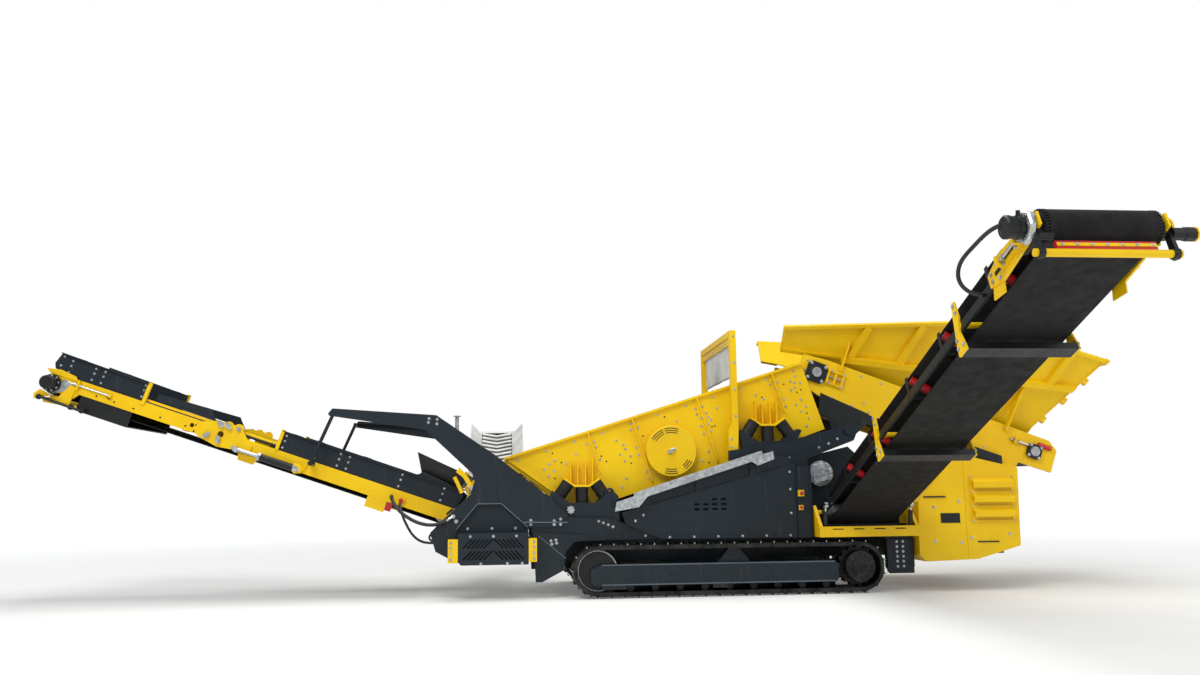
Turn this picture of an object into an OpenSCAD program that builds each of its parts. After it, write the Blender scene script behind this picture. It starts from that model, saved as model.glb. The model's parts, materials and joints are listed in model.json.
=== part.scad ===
/* [Tracks] */
// length of each crawler track over its shoes
track_len = 3980; // [3600:10:4400]
// height of each crawler track
track_h = 660; // [600:10:720]
// half width over the track shoes
track_out = 1300; // [1260:10:1360]
// width of one track shoe
shoe_w = 440; // [400:10:480]

/* [Screen] */
// length of the screen box along its top edge
screen_len = 4150; // [3900:10:4400]
// slope of the screen box
screen_tilt = 17.4; // [14:0.1:20]
// depth of the screen box sides
screen_depth = 950; // [850:10:1050]
// half width over the screen side plates
screen_half = 800; // [760:5:830]
// radius of the round vibrator covers
cover_r = 325; // [280:5:360]
// radius of a rubber spring
spring_r = 80; // [60:1:95]
// free length of a rubber spring
spring_len = 200; // [160:5:240]

/* [Tail conveyor] */
// slope of the tail conveyor
tail_slope = 19; // [16:0.5:22]
// distance from its foot drum to its head drum
tail_len = 5140; // [4900:10:5400]
// half width over its beams
tail_half = 780; // [720:10:820]

/* [Side conveyor] */
// slope of the side conveyor
side_slope = 22; // [19:0.5:25]
// distance from its tail drum to its head drum
side_len = 6040; // [5800:10:6300]
// half width of its belt
side_belt_half = 440; // [400:5:470]

/* [Cross conveyor] */
// slope of the far cross conveyor
cross_slope = 30.8; // [29:0.1:32]
// distance from its tail drum to its head drum
cross_len = 4700; // [4400:10:5000]
// half width of its belt
cross_belt_half = 380; // [340:5:400]

/* [Feeder and hopper] */
// slope of the belt feeder
feed_slope = 20; // [18:0.5:22]
// distance between the feeder drums
feed_len = 3170; // [3000:10:3300]
// half width over the feeder side plates
feed_half = 750; // [720:5:760]
// lean of the hopper side walls
hopper_lean = 33.4; // [28:0.2:38]

/* [Engine housings] */
// half width over the engine housings
house_out = 1250; // [1200:10:1300]

/* [Hidden] */
// smoothness of round pieces
$fn = 48;
yellow = [0.90, 0.68, 0.03];
anthracite = [0.16, 0.20, 0.23];
rubber_black = [0.03, 0.03, 0.035];
galvanised = [0.68, 0.70, 0.70];
steel = [0.55, 0.56, 0.57];
red = [0.65, 0.06, 0.05];
grey = [0.75, 0.76, 0.76];
// play left between a belt and the drum inside it
belt_play = 0.5;
// belt thickness
belt_t = 14;
// plate thickness of light sheets and of heavy plates
sheet_t = 15;
plate_t = 30;
// half widths of the chassis layers, from the centre outwards
seat_in = screen_half + 40;
slope_in = 1000;
rail_in = 1060;
rail_out = 1100;
gantry_out = rail_out + plate_t;
panel_out = rail_out + 50;
beam_in = 200;
beam_out = 320;
// heights of the chassis long beams and of the cross members on them
beam_low = 400;
beam_top = 700;
member_top = 800;
// lower end of the screen's top edge, the feeder's head drum at its upper end, and the feeder's supports
screen_at = [-30, 1740];
feed_at = screen_pt([screen_len, 0]) + [220, -131];
slope_pin = feed_at + [290, -810];
feed_bar_u = 2875;
feed_bar_n = -360;
bar_x = feed_at[0] + feed_bar_u * cos(feed_slope) + feed_bar_n * sin(feed_slope);
// track chain: middle line radius, ring thickness, grouser height, shoe count and middle heights
grouser_h = 24;
chain_t = 50;
chain_r = track_h / 2 - grouser_h;
chain_in = chain_r - chain_t;
chain_x0 = 800 + track_h / 2;
chain_run = track_len - track_h;
chain_x1 = chain_x0 + chain_run;
chain_z = track_h / 2;
chain_arc = PI * chain_r;
shoe_n = 51;
shoe_pitch = 2 * (chain_run + chain_arc) / shoe_n;
// one shoe's outline: part of the pitch, height over the pad
shoe_form = [[0.02, 0], [0.05, grouser_h], [0.13, grouser_h], [0.16, 0], [0.94, 0], [0.97, -12]];
function chain_pt(s, h) =
  s < chain_run ? [chain_x0 + s, chain_z - chain_r - h]
  : s < chain_run + chain_arc ? arc_pt(chain_x1, -90 + 180 * (s - chain_run) / chain_arc, h)
  : s < 2 * chain_run + chain_arc ? [chain_x1 - (s - chain_run - chain_arc), chain_z + chain_r + h]
  : arc_pt(chain_x0, 90 + 180 * (s - 2 * chain_run - chain_arc) / chain_arc, h);
function arc_pt(x, a, h) = [x + (chain_r + h) * cos(a), chain_z + (chain_r + h) * sin(a)];
// track middle layers: inner plate, wheels and outer plate
track_in = track_out - shoe_w;
frame_in = track_in + 30;
frame_out = track_out - 30;
wheel_in = track_in + 100;
wheel_out = track_out - 100;
roller_r = 45.5;
roller_z = chain_z - chain_in + roller_r + belt_play;

// machine coordinates to the part's frame
module shift() {
  translate([-mid_x, -mid_y, 0]) children();
}
// a profile drawn in X and Z, standing between two half widths on the near side
module layer(y0, y1) {
  translate([0, -y0, 0]) rotate([90, 0, 0]) linear_extrude(height = y1 - y0) children();
}
// the same on both sides
module layers(y0, y1) {
  layer(y0, y1) children();
  mirror([0, 1, 0]) layer(y0, y1) children();
}
// a profile drawn in X and Z, from side to side
module across(half) {
  translate([0, half, 0]) rotate([90, 0, 0]) linear_extrude(height = 2 * half) children();
}
// a round along Y between two half widths, at a place in X and Z
module round_y(p, r, y0, y1) {
  translate([p[0], -y0, p[1]]) rotate([90, 0, 0]) cylinder(r = r, h = y1 - y0);
}
module rounds_y(p, r, y0, y1) {
  round_y(p, r, y0, y1);
  mirror([0, 1, 0]) round_y(p, r, y0, y1);
}
module round_across(p, r, half) {
  translate([p[0], half, p[1]]) rotate([90, 0, 0]) cylinder(r = r, h = 2 * half);
}
// a round bar between two points
module bar(a, b, r) {
  d = b - a;
  translate(a) rotate([0, acos(d[2] / norm(d)), atan2(d[1], d[0])]) cylinder(r = r, h = norm(d));
}
// outline of a loop round two drums at x = 0 and x = len
module loop2d(len, r) {
  union() {
    circle(r = r);
    translate([len, 0]) circle(r = r);
    translate([0, -r]) square([len, 2 * r]);
  }
}

module track_chain() {
  layer(track_in, track_out) difference() {
    polygon([for (i = [0 : shoe_n - 1]) for (f = shoe_form) chain_pt((i + f[0]) * shoe_pitch, f[1])]);
    translate([chain_x0, chain_z]) loop2d(chain_run, chain_in);
  }
}
module track_chain_near() {
  color(rubber_black) shift() track_chain();
}
module track_chain_far() {
  color(rubber_black) shift() mirror([0, 1, 0]) track_chain();
}

// side beam, inner drive plate, carrier bracket and guard feet of both tracks
beam_z0 = roller_z + roller_r + belt_play;
beam_z1 = 410;
beam_x0 = chain_x0 + chain_in + 40;
beam_x1 = chain_x1 - chain_in - 24;
module track_frames() {
  color(anthracite) shift() {
    layers(frame_in, frame_in + 40)
      polygon([[1040, beam_z0], [chain_x1 + 60, beam_z0], [chain_x1 + 120, chain_z], [chain_x1 + 60, beam_z1],
        [1040, beam_z1]]);
    layers(frame_in + 40, frame_out - 40) polygon([[beam_x0, beam_z0], [beam_x1, beam_z0],
      [beam_x1, beam_z1 - 60], [beam_x1 - 60, beam_z1], [beam_x0, beam_z1]]);
    layers(frame_out - 40, frame_out) union() {
      polygon([[1080, 150], [4130, 150], [beam_x1, 190], [beam_x1, 370], [4120, beam_z1], [1180, beam_z1],
        [1040, 350], [1040, 200]]);
      translate([1180, 105]) square([300, 45]);
      translate([2560, 105]) square([190, 45]);
    }
    layers(wheel_in, wheel_out) polygon([[2640, beam_z1], [3060, beam_z1],
      [2910, chain_z + chain_in - belt_play], [2790, chain_z + chain_in - belt_play]]);
  }
}
// sprockets with their teeth and hubs, and the front idlers
sprocket_teeth = 15;
module sprocket2d() {
  difference() {
    circle(r = chain_in - belt_play);
    for (i = [0 : sprocket_teeth - 1])
      rotate(360 / sprocket_teeth * i) translate([chain_in + 12, 0]) circle(r = 40, $fn = 16);
  }
}
module track_wheels() {
  color(steel) shift() {
    layers(wheel_in + 60, wheel_out - 60) translate([chain_x1, chain_z]) sprocket2d();
    rounds_y([chain_x1, chain_z], 170, frame_in + 40, wheel_in + 60);
    rounds_y([chain_x1, chain_z], 190, wheel_out - 60, track_out - 20);
    rounds_y([chain_x1, chain_z], 110, track_out - 20, track_out - 5);
    rounds_y([chain_x0, chain_z], chain_in - belt_play, wheel_in, wheel_out);
    rounds_y([chain_x0, chain_z], 60, frame_in + 40, wheel_in);
    rounds_y([chain_x0, chain_z], 60, wheel_out, frame_out - 40);
  }
}
roller_n = 9;
module track_rollers() {
  color(steel) shift()
    for (i = [0 : roller_n - 1]) rounds_y([1540 + 310 * i, roller_z], roller_r, wheel_in, wheel_out);
}

// two long beams, the track cross beams under them, members on them and the rear masts
mast_x = bar_x - 80;
mast_w = 160;
member_x = [580, 2100, 3580, 5040];
module main_frame() {
  color(anthracite) shift() union() {
    layers(beam_in, beam_out) translate([300, beam_low]) square([mast_x + mast_w + 20 - 300, beam_top - beam_low]);
    for (x = [1820, 3480]) across(frame_in) translate([x, 200]) square([200, beam_low - 200]);
    for (x = member_x) across(rail_in) translate([x, beam_top]) square([120, member_top - beam_top]);
    for (x = [320, 6700]) across(beam_in) translate([x, beam_low]) square([100, beam_top - beam_low]);
    layers(seat_in, seat_in + 20) polygon([[3600, member_top], [5150, member_top], [5150, 1250], [4500, 1850],
      [3950, 1720], [3600, 1560]]);
    difference() {
      layers(beam_in, beam_out) polygon([[mast_x, beam_top], [mast_x + mast_w, beam_top],
        [mast_x + mast_w, mast_top], [mast_x + 40, mast_top]]);
      feed_place() round_across([feed_bar_u, feed_bar_n], feed_bar_r, feed_half);
    }
  }
}
module main_rails() {
  color(anthracite) shift() layers(rail_in, rail_out) difference() {
    polygon([[310, 1000], [1280, 970], [1630, 850], [5220, 850], [5220, 220], [4900, 220], [4850, 300],
      [4850, 700], [1630, 700], [900, 690], [760, 640], [340, 640]]);
    for (x = [2500, 3150]) translate([x, 775]) circle(r = 40);
  }
}
module front_wedges() {
  color(anthracite) shift() layers(rail_out, gantry_out)
    polygon([[340, 810], [370, 200], [450, 200], [720, 340], [740, 560], [860, 690], [1000, 695], [1000, 760]]);
}
// side panels with a grid of slots and a post with a rear flange
panel_slot = [70, 24];
module side_panels() {
  color(anthracite) shift() union() {
    layers(rail_out, panel_out) difference() {
      polygon([[1450, 1030], [3700, 1630], [3700, 690], [1950, 700], [1500, 890]]);
      for (i = [0 : 3]) for (j = [0 : (i > 1 ? 2 : 1)]) translate([2370 + 115 * i, 1050 + 62 * j]) square(panel_slot);
    }
    layers(rail_out, panel_out - 20) polygon([[1600, 1060], [3690, 1620], [3690, 1690], [3230, 1780], [1600, 1270]]);
    for (x = [1700, 2400, 3100]) layers(rail_out, panel_out) translate([x, 1050 + (x - 1600) * 0.27])
      square([90, 195 + (x - 1600) * 0.045]);
    layers(rail_out, panel_out + 20) translate([3700, 690]) square([190, 900]);
  }
}
module rear_plates() {
  color(anthracite) shift() layers(rail_out, gantry_out)
    polygon([[4860, 650], [5215, 650], [5215, 300], [4860, 240]]);
}

// rubber spring sets: middle points of the two fans, spring angles and seat radii
fan_low = [965, 1660];
fan_high = screen_pt([screen_len - 664, -379.8]);
fan_step = 35;
// play left at each end of a spring
seat_play = 0.02;
fan_in = 300;
fan_out = fan_in + spring_len;
function fan_pt(c, r, a) = [c[0] + r * sin(a), c[1] - r * cos(a)];
// a corner of the facets, each square to its spring at one radius
seat_end = 48;
function facet_pt(c, r, a) = fan_pt(c, r / cos(fan_step - abs(a)), a);
// dark seats under the springs, with one facet square to each spring
module seat2d(c, base) {
  polygon(concat([for (a = [-seat_end, -fan_step / 2, fan_step / 2, seat_end]) facet_pt(c, fan_out, a)],
    base));
}
module spring_seats() {
  color(anthracite) shift() {
    layers(seat_in, rail_in) seat2d(fan_low, [[1420, 1240], [1430, 930], [700, 930], [560, 1250]]);
    layers(seat_in, slope_in) seat2d(fan_high, [for (q = [[440, -360], [290, -620], [-330, -720], [-380, -380]]) fan_high + q]);
  }
}
// sloping beams that carry the upper seats, the portal and the feeder's front
module slope_beams() {
  color(anthracite) shift() {
    layers(slope_in, rail_in) polygon([[2860, 1600], [3720, 1640], [3720, 720], [3890, 720], [3890, 1690],
      slope_pin + [80, -120], slope_pin + [120, -30], slope_pin + [30, 80], [3470, 1880], [2860, 1800]]);
    rounds_y(slope_pin, 45, rail_in, rail_in + 30);
    rounds_y(slope_pin, 45, feed_half, slope_in);
    feed_place() layers(feed_in, feed_half) polygon([[210, feed_low], [930, feed_low], front_pin + [200, 20],
      front_pin + [60, -70], front_pin + [-70, -60]]);
  }
}

// bent plate arms with an arch, the far arch wider for the cross conveyor
arm_top = [[-2200, 2300], [-2150, 2360], [-870, 2270], [-140, 1770], [550, 1230], [780, 1010], [640, 870]];
arm_low = [[-690, 500], [-860, 590], [-930, 820], [-790, 960], [-440, 1280], [-390, 1440], [-420, 1540],
  [-1010, 2090], [-2190, 2270]];
arch_near = [[270, 870], [-60, 1160], [-350, 1160], [-600, 860]];
arch_far = [[320, 870], [300, 1180], [-480, 1180], [-610, 1090], [-620, 860]];
module gantry(arch) {
  layer(rail_out, gantry_out) polygon(concat(arm_top, arch, arm_low));
  // stiffening web along the back of the arm
  layer(rail_out - 60, rail_out) polygon([[-2150, 2345], [-880, 2255], [-880, 2235], [-2150, 2325]]);
}
module gantry_near() {
  color(anthracite) shift() gantry(arch_near);
}
module gantry_far() {
  color(anthracite) shift() union() {
    mirror([0, 1, 0]) gantry(arch_far);
    // capped post
    translate([-720, rail_out + plate_t / 2, 2100]) cylinder(r = 28, h = 320);
    translate([-720, rail_out + plate_t / 2, 2420]) cylinder(r = 55, h = 12);
  }
}
tie_y = 950;
tie_top = [-2170, 2298];
tie_low = [-2430, 1690];
module tie_rods() {
  color(anthracite) shift() for (s = [-1, 1]) union() {
    bar([tie_top[0], s * tie_y, tie_top[1]], [tie_low[0], s * tie_y, tie_low[1]], 22);
    mirror([0, s == 1 ? 1 : 0, 0]) round_y(tie_top, 25, tie_y - 30, rail_out);
    mirror([0, s == 1 ? 1 : 0, 0]) round_y(tie_low, 30, tail_half, tie_y + 30);
  }
}

// the tail conveyor's own frame: x up along it from its foot, z square to it
tail_foot = [-600, 970];
tail_beam_t = 40;
tail_in = tail_half - tail_beam_t;
tail_drum_r = 120;
tail_x0 = 200;
tail_x1 = tail_x0 + tail_len;
tail_mid = 10;
fold_x = 3130;
module tail_place() {
  translate([tail_foot[0], 0, tail_foot[1]]) mirror([1, 0, 0]) rotate([0, -tail_slope, 0]) children();
}
foot_pin = [90, -10];
module tail_beams_inner() {
  color(yellow) shift() tail_place() union() {
    layers(tail_in, tail_half) polygon([[40, -70], [fold_x - 230, -70], [fold_x - 230, 110],
      [40, 110]]);
    for (x = [480, 1250, 2100]) round_across([x, 10], 45, tail_in);
    rounds_y(foot_pin, 35, tail_half, rail_out);
  }
}
module tail_beams_outer() {
  color(yellow) shift() tail_place() union() {
    layers(tail_in, tail_half) difference() {
      polygon([[fold_x + 250, -20], [tail_x1 - 350, -20], [tail_x1 - 300, -90], [tail_x1 + 60, -60],
        [tail_x1 + 110, 10], [tail_x1 + 60, 150], [fold_x + 250, 150]]);
      for (x = [fold_x + 420, fold_x + 1500]) translate([x, 65]) circle(r = 28);
    }
    for (x = [fold_x + 500, fold_x + 1300]) round_across([x, 10], 45, tail_in);
  }
}
// knuckle plates over both beam ends
module tail_fold_plates() {
  color(yellow) shift() tail_place() layers(tail_half, tail_half + 22) difference() {
    union() {
      polygon([[fold_x - 380, -65], [fold_x - 150, -65], [fold_x + 30, -90], [fold_x + 300, -40],
        [fold_x + 380, 30], [fold_x + 330, 140], [fold_x + 120, 220], [fold_x - 160, 240], [fold_x - 300, 105],
        [fold_x - 380, 60]]);
      translate([fold_x - 20, 195]) circle(r = 60);
      translate([fold_x - 150, 205]) circle(r = 60);
    }
    translate([fold_x + 40, 70]) circle(r = 40);
  }
}
tail_pin_at = [[194, 8], [42, -3], [78, 190], [-20, 195], [-152, 200]];
skirt_in = tail_in + 5;
skirt_out = skirt_in + sheet_t;
module tail_skirts() {
  color(rubber_black) shift() tail_place() {
    layers(skirt_in, skirt_out) polygon([[80, 110], [fold_x - 670, 110], [fold_x - 670, 350], [140, 345],
      [40, 300]]);
    layers(skirt_in, skirt_out) polygon([[fold_x + 1080, 150], [tail_x1 - 100, 150], [tail_x1 + 50, 200],
      [tail_x1 + 80, 260], [tail_x1 + 40, 400], [fold_x + 1090, 375]]);
  }
}
tail_belt_half = tail_in - 40;
module tail_belt() {
  color(rubber_black) shift() tail_place() across(tail_belt_half) translate([tail_x0, tail_mid]) difference() {
    loop2d(tail_len, tail_drum_r + belt_t);
    loop2d(tail_len, tail_drum_r);
  }
}
module tail_drums() {
  color(steel) shift() tail_place() for (x = [tail_x0, tail_x1]) union() {
    round_across([x, tail_mid], tail_drum_r - belt_play, tail_belt_half - 10);
    round_across([x, tail_mid], 40, tail_in);
  }
}
module tail_motors() {
  color(rubber_black) shift() tail_place() {
    round_y([tail_x1, tail_mid], 110, tail_half, tail_half + 60);
    round_y([tail_x1, tail_mid], 75, tail_half + 60, tail_half + 190);
    mirror([0, 1, 0]) round_y([tail_x1, tail_mid], 70, tail_half, tail_half + 60);
  }
}
// fold cylinders along the beams, with their end pins and the pins of the knuckle plates
cyl_y = tail_half + 75;
cyl_a = [fold_x - 215, -45];
cyl_b = [fold_x - 1000, -40];
module fold_cylinders() {
  color(steel) shift() tail_place() for (s = [0, 1]) mirror([0, s, 0]) union() {
    bar([cyl_b[0], -cyl_y, cyl_b[1]], [cyl_b[0] + 480, -cyl_y, cyl_b[1]], 42);
    bar([cyl_b[0] + 470, -cyl_y, cyl_b[1]], [cyl_a[0], -cyl_y, cyl_a[1] + 5], 24);
    round_y(cyl_a, 34, tail_half + 22, cyl_y + 30);
    round_y(cyl_b, 34, tail_half, cyl_y + 30);
  }
  color(steel) shift() tail_place() for (p = tail_pin_at)
    rounds_y([fold_x + p[0], p[1]], 28, tail_half + 22, tail_half + 50);
}
// under guard of the head end, and the hood over the foot
module tail_guards() {
  color(rubber_black) shift() tail_place() {
    union() {
      layers(skirt_in, skirt_out) polygon([[fold_x + 1170, -20], [tail_x1 - 380, -20], [tail_x1 - 380, -190],
        [tail_x1 - 420, -220], [fold_x + 1170, -220]]);
      across(skirt_in) translate([fold_x + 1170, -220]) square([tail_x1 - 380 - fold_x - 1170, 14]);
    }
    across(skirt_out) polygon([[110, 345], [700, 348], [620, 430], [90, 362]]);
  }
}
module tail_scraper() {
  color(rubber_black) shift() tail_place() union() {
    layers(tail_half, tail_half + 20) polygon([[tail_x1 - 290, 60], [tail_x1 - 220, 60], [tail_x1 - 140, -120], [tail_x1 + 40, -190],
      [tail_x1 + 10, -240], [tail_x1 - 300, -200]]);
    round_across([tail_x1 - 10, -205], 24, tail_half);
    across(tail_belt_half) translate([tail_x1 - 20, -205]) square([20, 205 + tail_mid - tail_drum_r - belt_t - 4]);
  }
}

// cross conveyor: its side profile lies in Y and Z, and bends up behind the far arm
cross_x = -150;
cross_drum_r = 100;
cross_tail = [-1100, 620];
cross_knee = [1250, 1030];
knee_slope = cross_slope;
cross_rise = cross_len - 2385;
cross_head = [cross_knee[0] + cross_rise * cos(knee_slope), cross_knee[1] + cross_rise * sin(knee_slope)];
cross_low = atan2(cross_knee[1] - cross_tail[1], cross_knee[0] - cross_tail[0]);
cross_side = cross_belt_half + 20;
knee_mid = (cross_low + knee_slope) / 2;
function knee_pt(h) = cross_knee + h / cos((knee_slope - cross_low) / 2) * [-sin(knee_mid), cos(knee_mid)];
function turn_pts(c, r, a0, a1, n) = [for (i = [0 : n]) c + r * [cos(a0 + (a1 - a0) * i / n), sin(a0 + (a1 - a0) * i / n)]];
function cross_end_pts(r) = turn_pts(cross_head, r, knee_slope - 90, knee_slope + 90, 16);
module cross2d(r) {
  polygon(concat([knee_pt(r)], turn_pts(cross_tail, r, 90 + cross_low, 270 + cross_low, 16), [knee_pt(-r)],
    cross_end_pts(r)));
}
// a profile drawn in Y and Z, standing between two places along X
module along_x(x0, x1) {
  translate([cross_x + x0, 0, 0]) rotate([90, 0, 90]) linear_extrude(height = x1 - x0) children();
}
module cross_pair(x0, x1) {
  along_x(x0, x1) children();
  along_x(-x1, -x0) children();
}
module cross_frame() {
  color(yellow) shift() union() {
    cross_pair(cross_side, cross_side + 30) polygon(concat([knee_pt(70)], turn_pts(cross_tail, 70, 90 + cross_low, 270 + cross_low, 6),
      [knee_pt(-70)], turn_pts(cross_head, 70, knee_slope - 90, knee_slope + 90, 6)));
    for (t = [0.25, 0.6, 0.9]) along_x(-cross_side, cross_side)
      translate(cross_knee + t * (cross_head - cross_knee)) circle(r = 40);
    for (t = [0.2, 0.55]) along_x(-cross_side, cross_side) translate(cross_tail + t * (cross_knee - cross_tail)) circle(r = 40);
  }
}
// chevron cleats stand on the outside of the belt
module cross_belt() {
  color(grey) shift() along_x(-cross_belt_half, cross_belt_half) difference() {
    cross2d(cross_drum_r + belt_t);
    cross2d(cross_drum_r);
  }
}
module cross_drums() {
  color(steel) shift() for (c = [cross_tail, cross_head]) union() {
    along_x(-cross_belt_half + 10, cross_belt_half - 10) translate(c) circle(r = cross_drum_r - belt_play);
    along_x(-cross_side, cross_side) translate(c) circle(r = 35);
  }
}
// louvred tail guard: two by two groups of slanted slots, and the hood behind the near arch
guard_y = 1300;
guard_half = cross_side + 30;
guard_slot = [16, 60, 150];
hood_y = 1060;
module cross_guard() {
  color(anthracite) shift() union() {
    difference() {
      translate([cross_x, 0, 0]) layer(guard_y - sheet_t, guard_y) polygon([[-guard_half, 810], [guard_half, 810],
        [guard_half, 430], [-guard_half + 40, 430], [-guard_half, 470]]);
      for (i = [-1, 1]) for (j = [0, 1]) for (k = [-2.5 : 1 : 2.5])
        translate([cross_x + i * 190 + k * 50, -guard_y, 545 + 140 * j]) rotate([0, -45 * i, 0])
          cube(guard_slot, center = true);
    }
    translate([cross_x - guard_half + 40, -guard_y + sheet_t, 430]) cube([2 * guard_half - 40, 50, 15]);
    translate([cross_x - guard_half, -guard_y + sheet_t, 795]) cube([2 * guard_half, guard_y - sheet_t - hood_y, 15]);
    layer(hood_y, hood_y + sheet_t) polygon([[cross_x - guard_half, 795], [cross_x + guard_half, 795],
      [cross_x + guard_half, 880], [-20, 1200], [-390, 1200], [cross_x - guard_half, 980]]);
  }
}
module cross_brackets() {
  color(yellow) shift() for (s = [0, 1]) mirror([0, s, 0]) {
    translate([cross_x - guard_half - 120, -guard_y, s == 0 ? 460 : 860]) cube([120, guard_y - gantry_out, 280 - 40 * s]);
    translate([cross_x + guard_half, -guard_y, s == 0 ? 460 : 880]) cube([s == 0 ? 100 : 180, guard_y - gantry_out, 280 - 40 * s]);
  }
}

// screen box: x along its top edge from the lower end, z square to the decks
screen_t = 15;
screen_in = screen_half - screen_t;
rib_out = screen_half + 50;
module screen_place() {
  translate([screen_at[0], 0, screen_at[1]]) rotate([0, -screen_tilt, 0]) children();
}
function screen_pt(p) = [screen_at[0] + p[0] * cos(screen_tilt) - p[1] * sin(screen_tilt),
  screen_at[1] + p[0] * sin(screen_tilt) + p[1] * cos(screen_tilt)];
cover_at = [2090, -582];
rib_at = [1130, 1735, 2640, 3710];
rib_low = [-560, -870, -890, -560];
screen_side_form = [[0, 0], [screen_len, 0], [screen_len + 10, -screen_depth + 10], [screen_len - 280, -screen_depth],
  [690, -screen_depth], [0, -60]];
// side plate with top flange, ribs and the facet brackets over the springs
module bracket2d(c, up) {
  polygon(concat([for (a = [-seat_end, -fan_step / 2, fan_step / 2, seat_end]) facet_pt(c, fan_in, a)],
    [[c[0] + 170, c[1] + up], [c[0] - 170, c[1] + up]]));
}
module screen_side() {
  union() {
    screen_place() {
      layer(screen_in, screen_half) polygon(screen_side_form);
      layer(screen_half - 1, rib_out) translate([0, -30]) square([screen_len, 30]);
      for (i = [0 : 3]) layer(screen_half - 1, rib_out) translate([rib_at[i] - 8, rib_low[i]])
        square([16, -rib_low[i] - 10]);
      layer(screen_half - 1, rib_out - 20) translate([40, -50]) rotate(-53) square([1100, 16]);
    }
    for (c = [fan_low, fan_high]) {
      layer(screen_half - 1, slope_in - 10) difference() {
        bracket2d(c, -40);
        bracket2d([c[0], c[1] + 26], 0);
      }
      for (a = [-140, -50, 50, 140]) layer(screen_half - 1, screen_half + 110)
        translate([c[0] + a - 7, c[1] - fan_in + (abs(a) > 100 ? 45 : 10)]) square([14, 290]);
    }
  }
}
module screen_side_near() {
  color(yellow) shift() screen_side();
}
module screen_side_far() {
  color(yellow) shift() mirror([0, 1, 0]) screen_side();
}
// two decks with square openings
deck_z = [-250, -760];
deck_t = 20;
deck_from = [60, 620];
deck_to = screen_len - 120;
deck_hole = 160;
module screen_decks() {
  color(steel) shift() screen_place() for (d = [0, 1]) difference() {
    across(screen_in) translate([deck_from[d], deck_z[d] - deck_t]) square([deck_to - deck_from[d], deck_t]);
    for (i = [0 : 9 - 2 * d]) for (j = [-2 : 2])
      translate([deck_from[d] + 300 + 360 * i, j * 280 - deck_hole / 2, deck_z[d] - 2 * deck_t])
        cube([deck_hole + 60, deck_hole + 40, 4 * deck_t]);
  }
}
beam_at = [200, 1180, 2520, 3560];
module screen_beams() {
  color(yellow) shift() screen_place() {
    for (x = beam_at) across(screen_in) translate([x, deck_z[0] - deck_t - 110]) square([90, 110]);
    for (x = [900, 1750, 2850, 3650]) across(screen_in) translate([x, deck_z[1] - deck_t - 110]) square([90, 110]);
    round_across(cover_at, 130, screen_in);
  }
}
// round covers of the exciter shaft, with arc slots
module arc_slot(r, a0, a1) {
  rotate(a0) rotate_extrude(angle = a1 - a0) translate([r - 5, 0]) square([10, 60]);
}
module vibrator_covers() {
  color(yellow) shift() screen_place() for (s = [0, 1]) mirror([0, s, 0]) difference() {
    union() {
      round_y(cover_at, cover_r, screen_half, screen_half + 100);
      round_y(cover_at, 45, screen_half + 100, screen_half + 112);
    }
    for (a = [60, 100, 240, 280]) for (k = [0 : 2])
      translate([cover_at[0], -screen_half - 60, cover_at[1]]) rotate([90, 0, 0])
        arc_slot(cover_r - 60 - 26 * k, a - 15, a + 15);
  }
}
module springs(c) {
  for (s = [0, 1]) mirror([0, s, 0]) for (a = [-fan_step, 0, fan_step])
    translate([c[0], -(seat_in + slope_in) / 2, c[1]]) rotate([0, 180 - a, 0]) translate([0, 0, fan_in + seat_play])
      cylinder(r = spring_r, h = spring_len - 2 * seat_play);
}
module springs_lower() {
  color(rubber_black) shift() springs(fan_low);
}
module springs_upper() {
  color(rubber_black) shift() springs(fan_high);
}

// portal over the screen, with its curtain
portal_x = 2930;
portal_w = 80;
portal_in = 900;
portal_top = 3380;
curtain_low = 2770;
module portal_frame() {
  color(yellow) shift() union() {
    layers(portal_in, slope_in) polygon([[portal_x + 20, 1650], [portal_x - 50, 1740], [portal_x - 50, 2050],
      [portal_x, 2150], [portal_x, portal_top], [portal_x + portal_w, portal_top], [portal_x + portal_w, 2100],
      [portal_x + 60, 1700]]);
    across(portal_in) translate([portal_x, portal_top - 80]) square([portal_w, 80]);
  }
}
module portal_curtain() {
  color(grey) shift() across(screen_in - 40) translate([portal_x + 30, curtain_low])
    square([14, portal_top - 80 - curtain_low]);
}
// galvanised walkway edges over the side panels
walk_out = panel_out + 130;
module walkways() {
  color(galvanised) shift() union() {
    layers(walk_out - sheet_t, walk_out) polygon([[1350, 1050], [1370, 1165], [1590, 1235], [1600, 1275],
      [3230, 1785], [3250, 1745], [3380, 1780], [3390, 1680], [3180, 1600], [3100, 1650], [1760, 1230],
      [1650, 1100]]);
    layers(panel_out, walk_out - sheet_t) polygon([[1600, 1255], [3230, 1765], [3230, 1785], [1600, 1275]]);
  }
}

// feeder: x down along it from its head drum, z square to its belt
feed_t = 50;
feed_in = feed_half - feed_t;
feed_drum_r = 176;
feed_top = 215;
feed_low = -300;
feed_bar_r = 50;
mast_top = feed_at[1] - feed_bar_u * sin(feed_slope) + feed_bar_n * cos(feed_slope) + 70;
module feed_place() {
  translate([feed_at[0], 0, feed_at[1]]) rotate([0, feed_slope, 0]) children();
}
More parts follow.
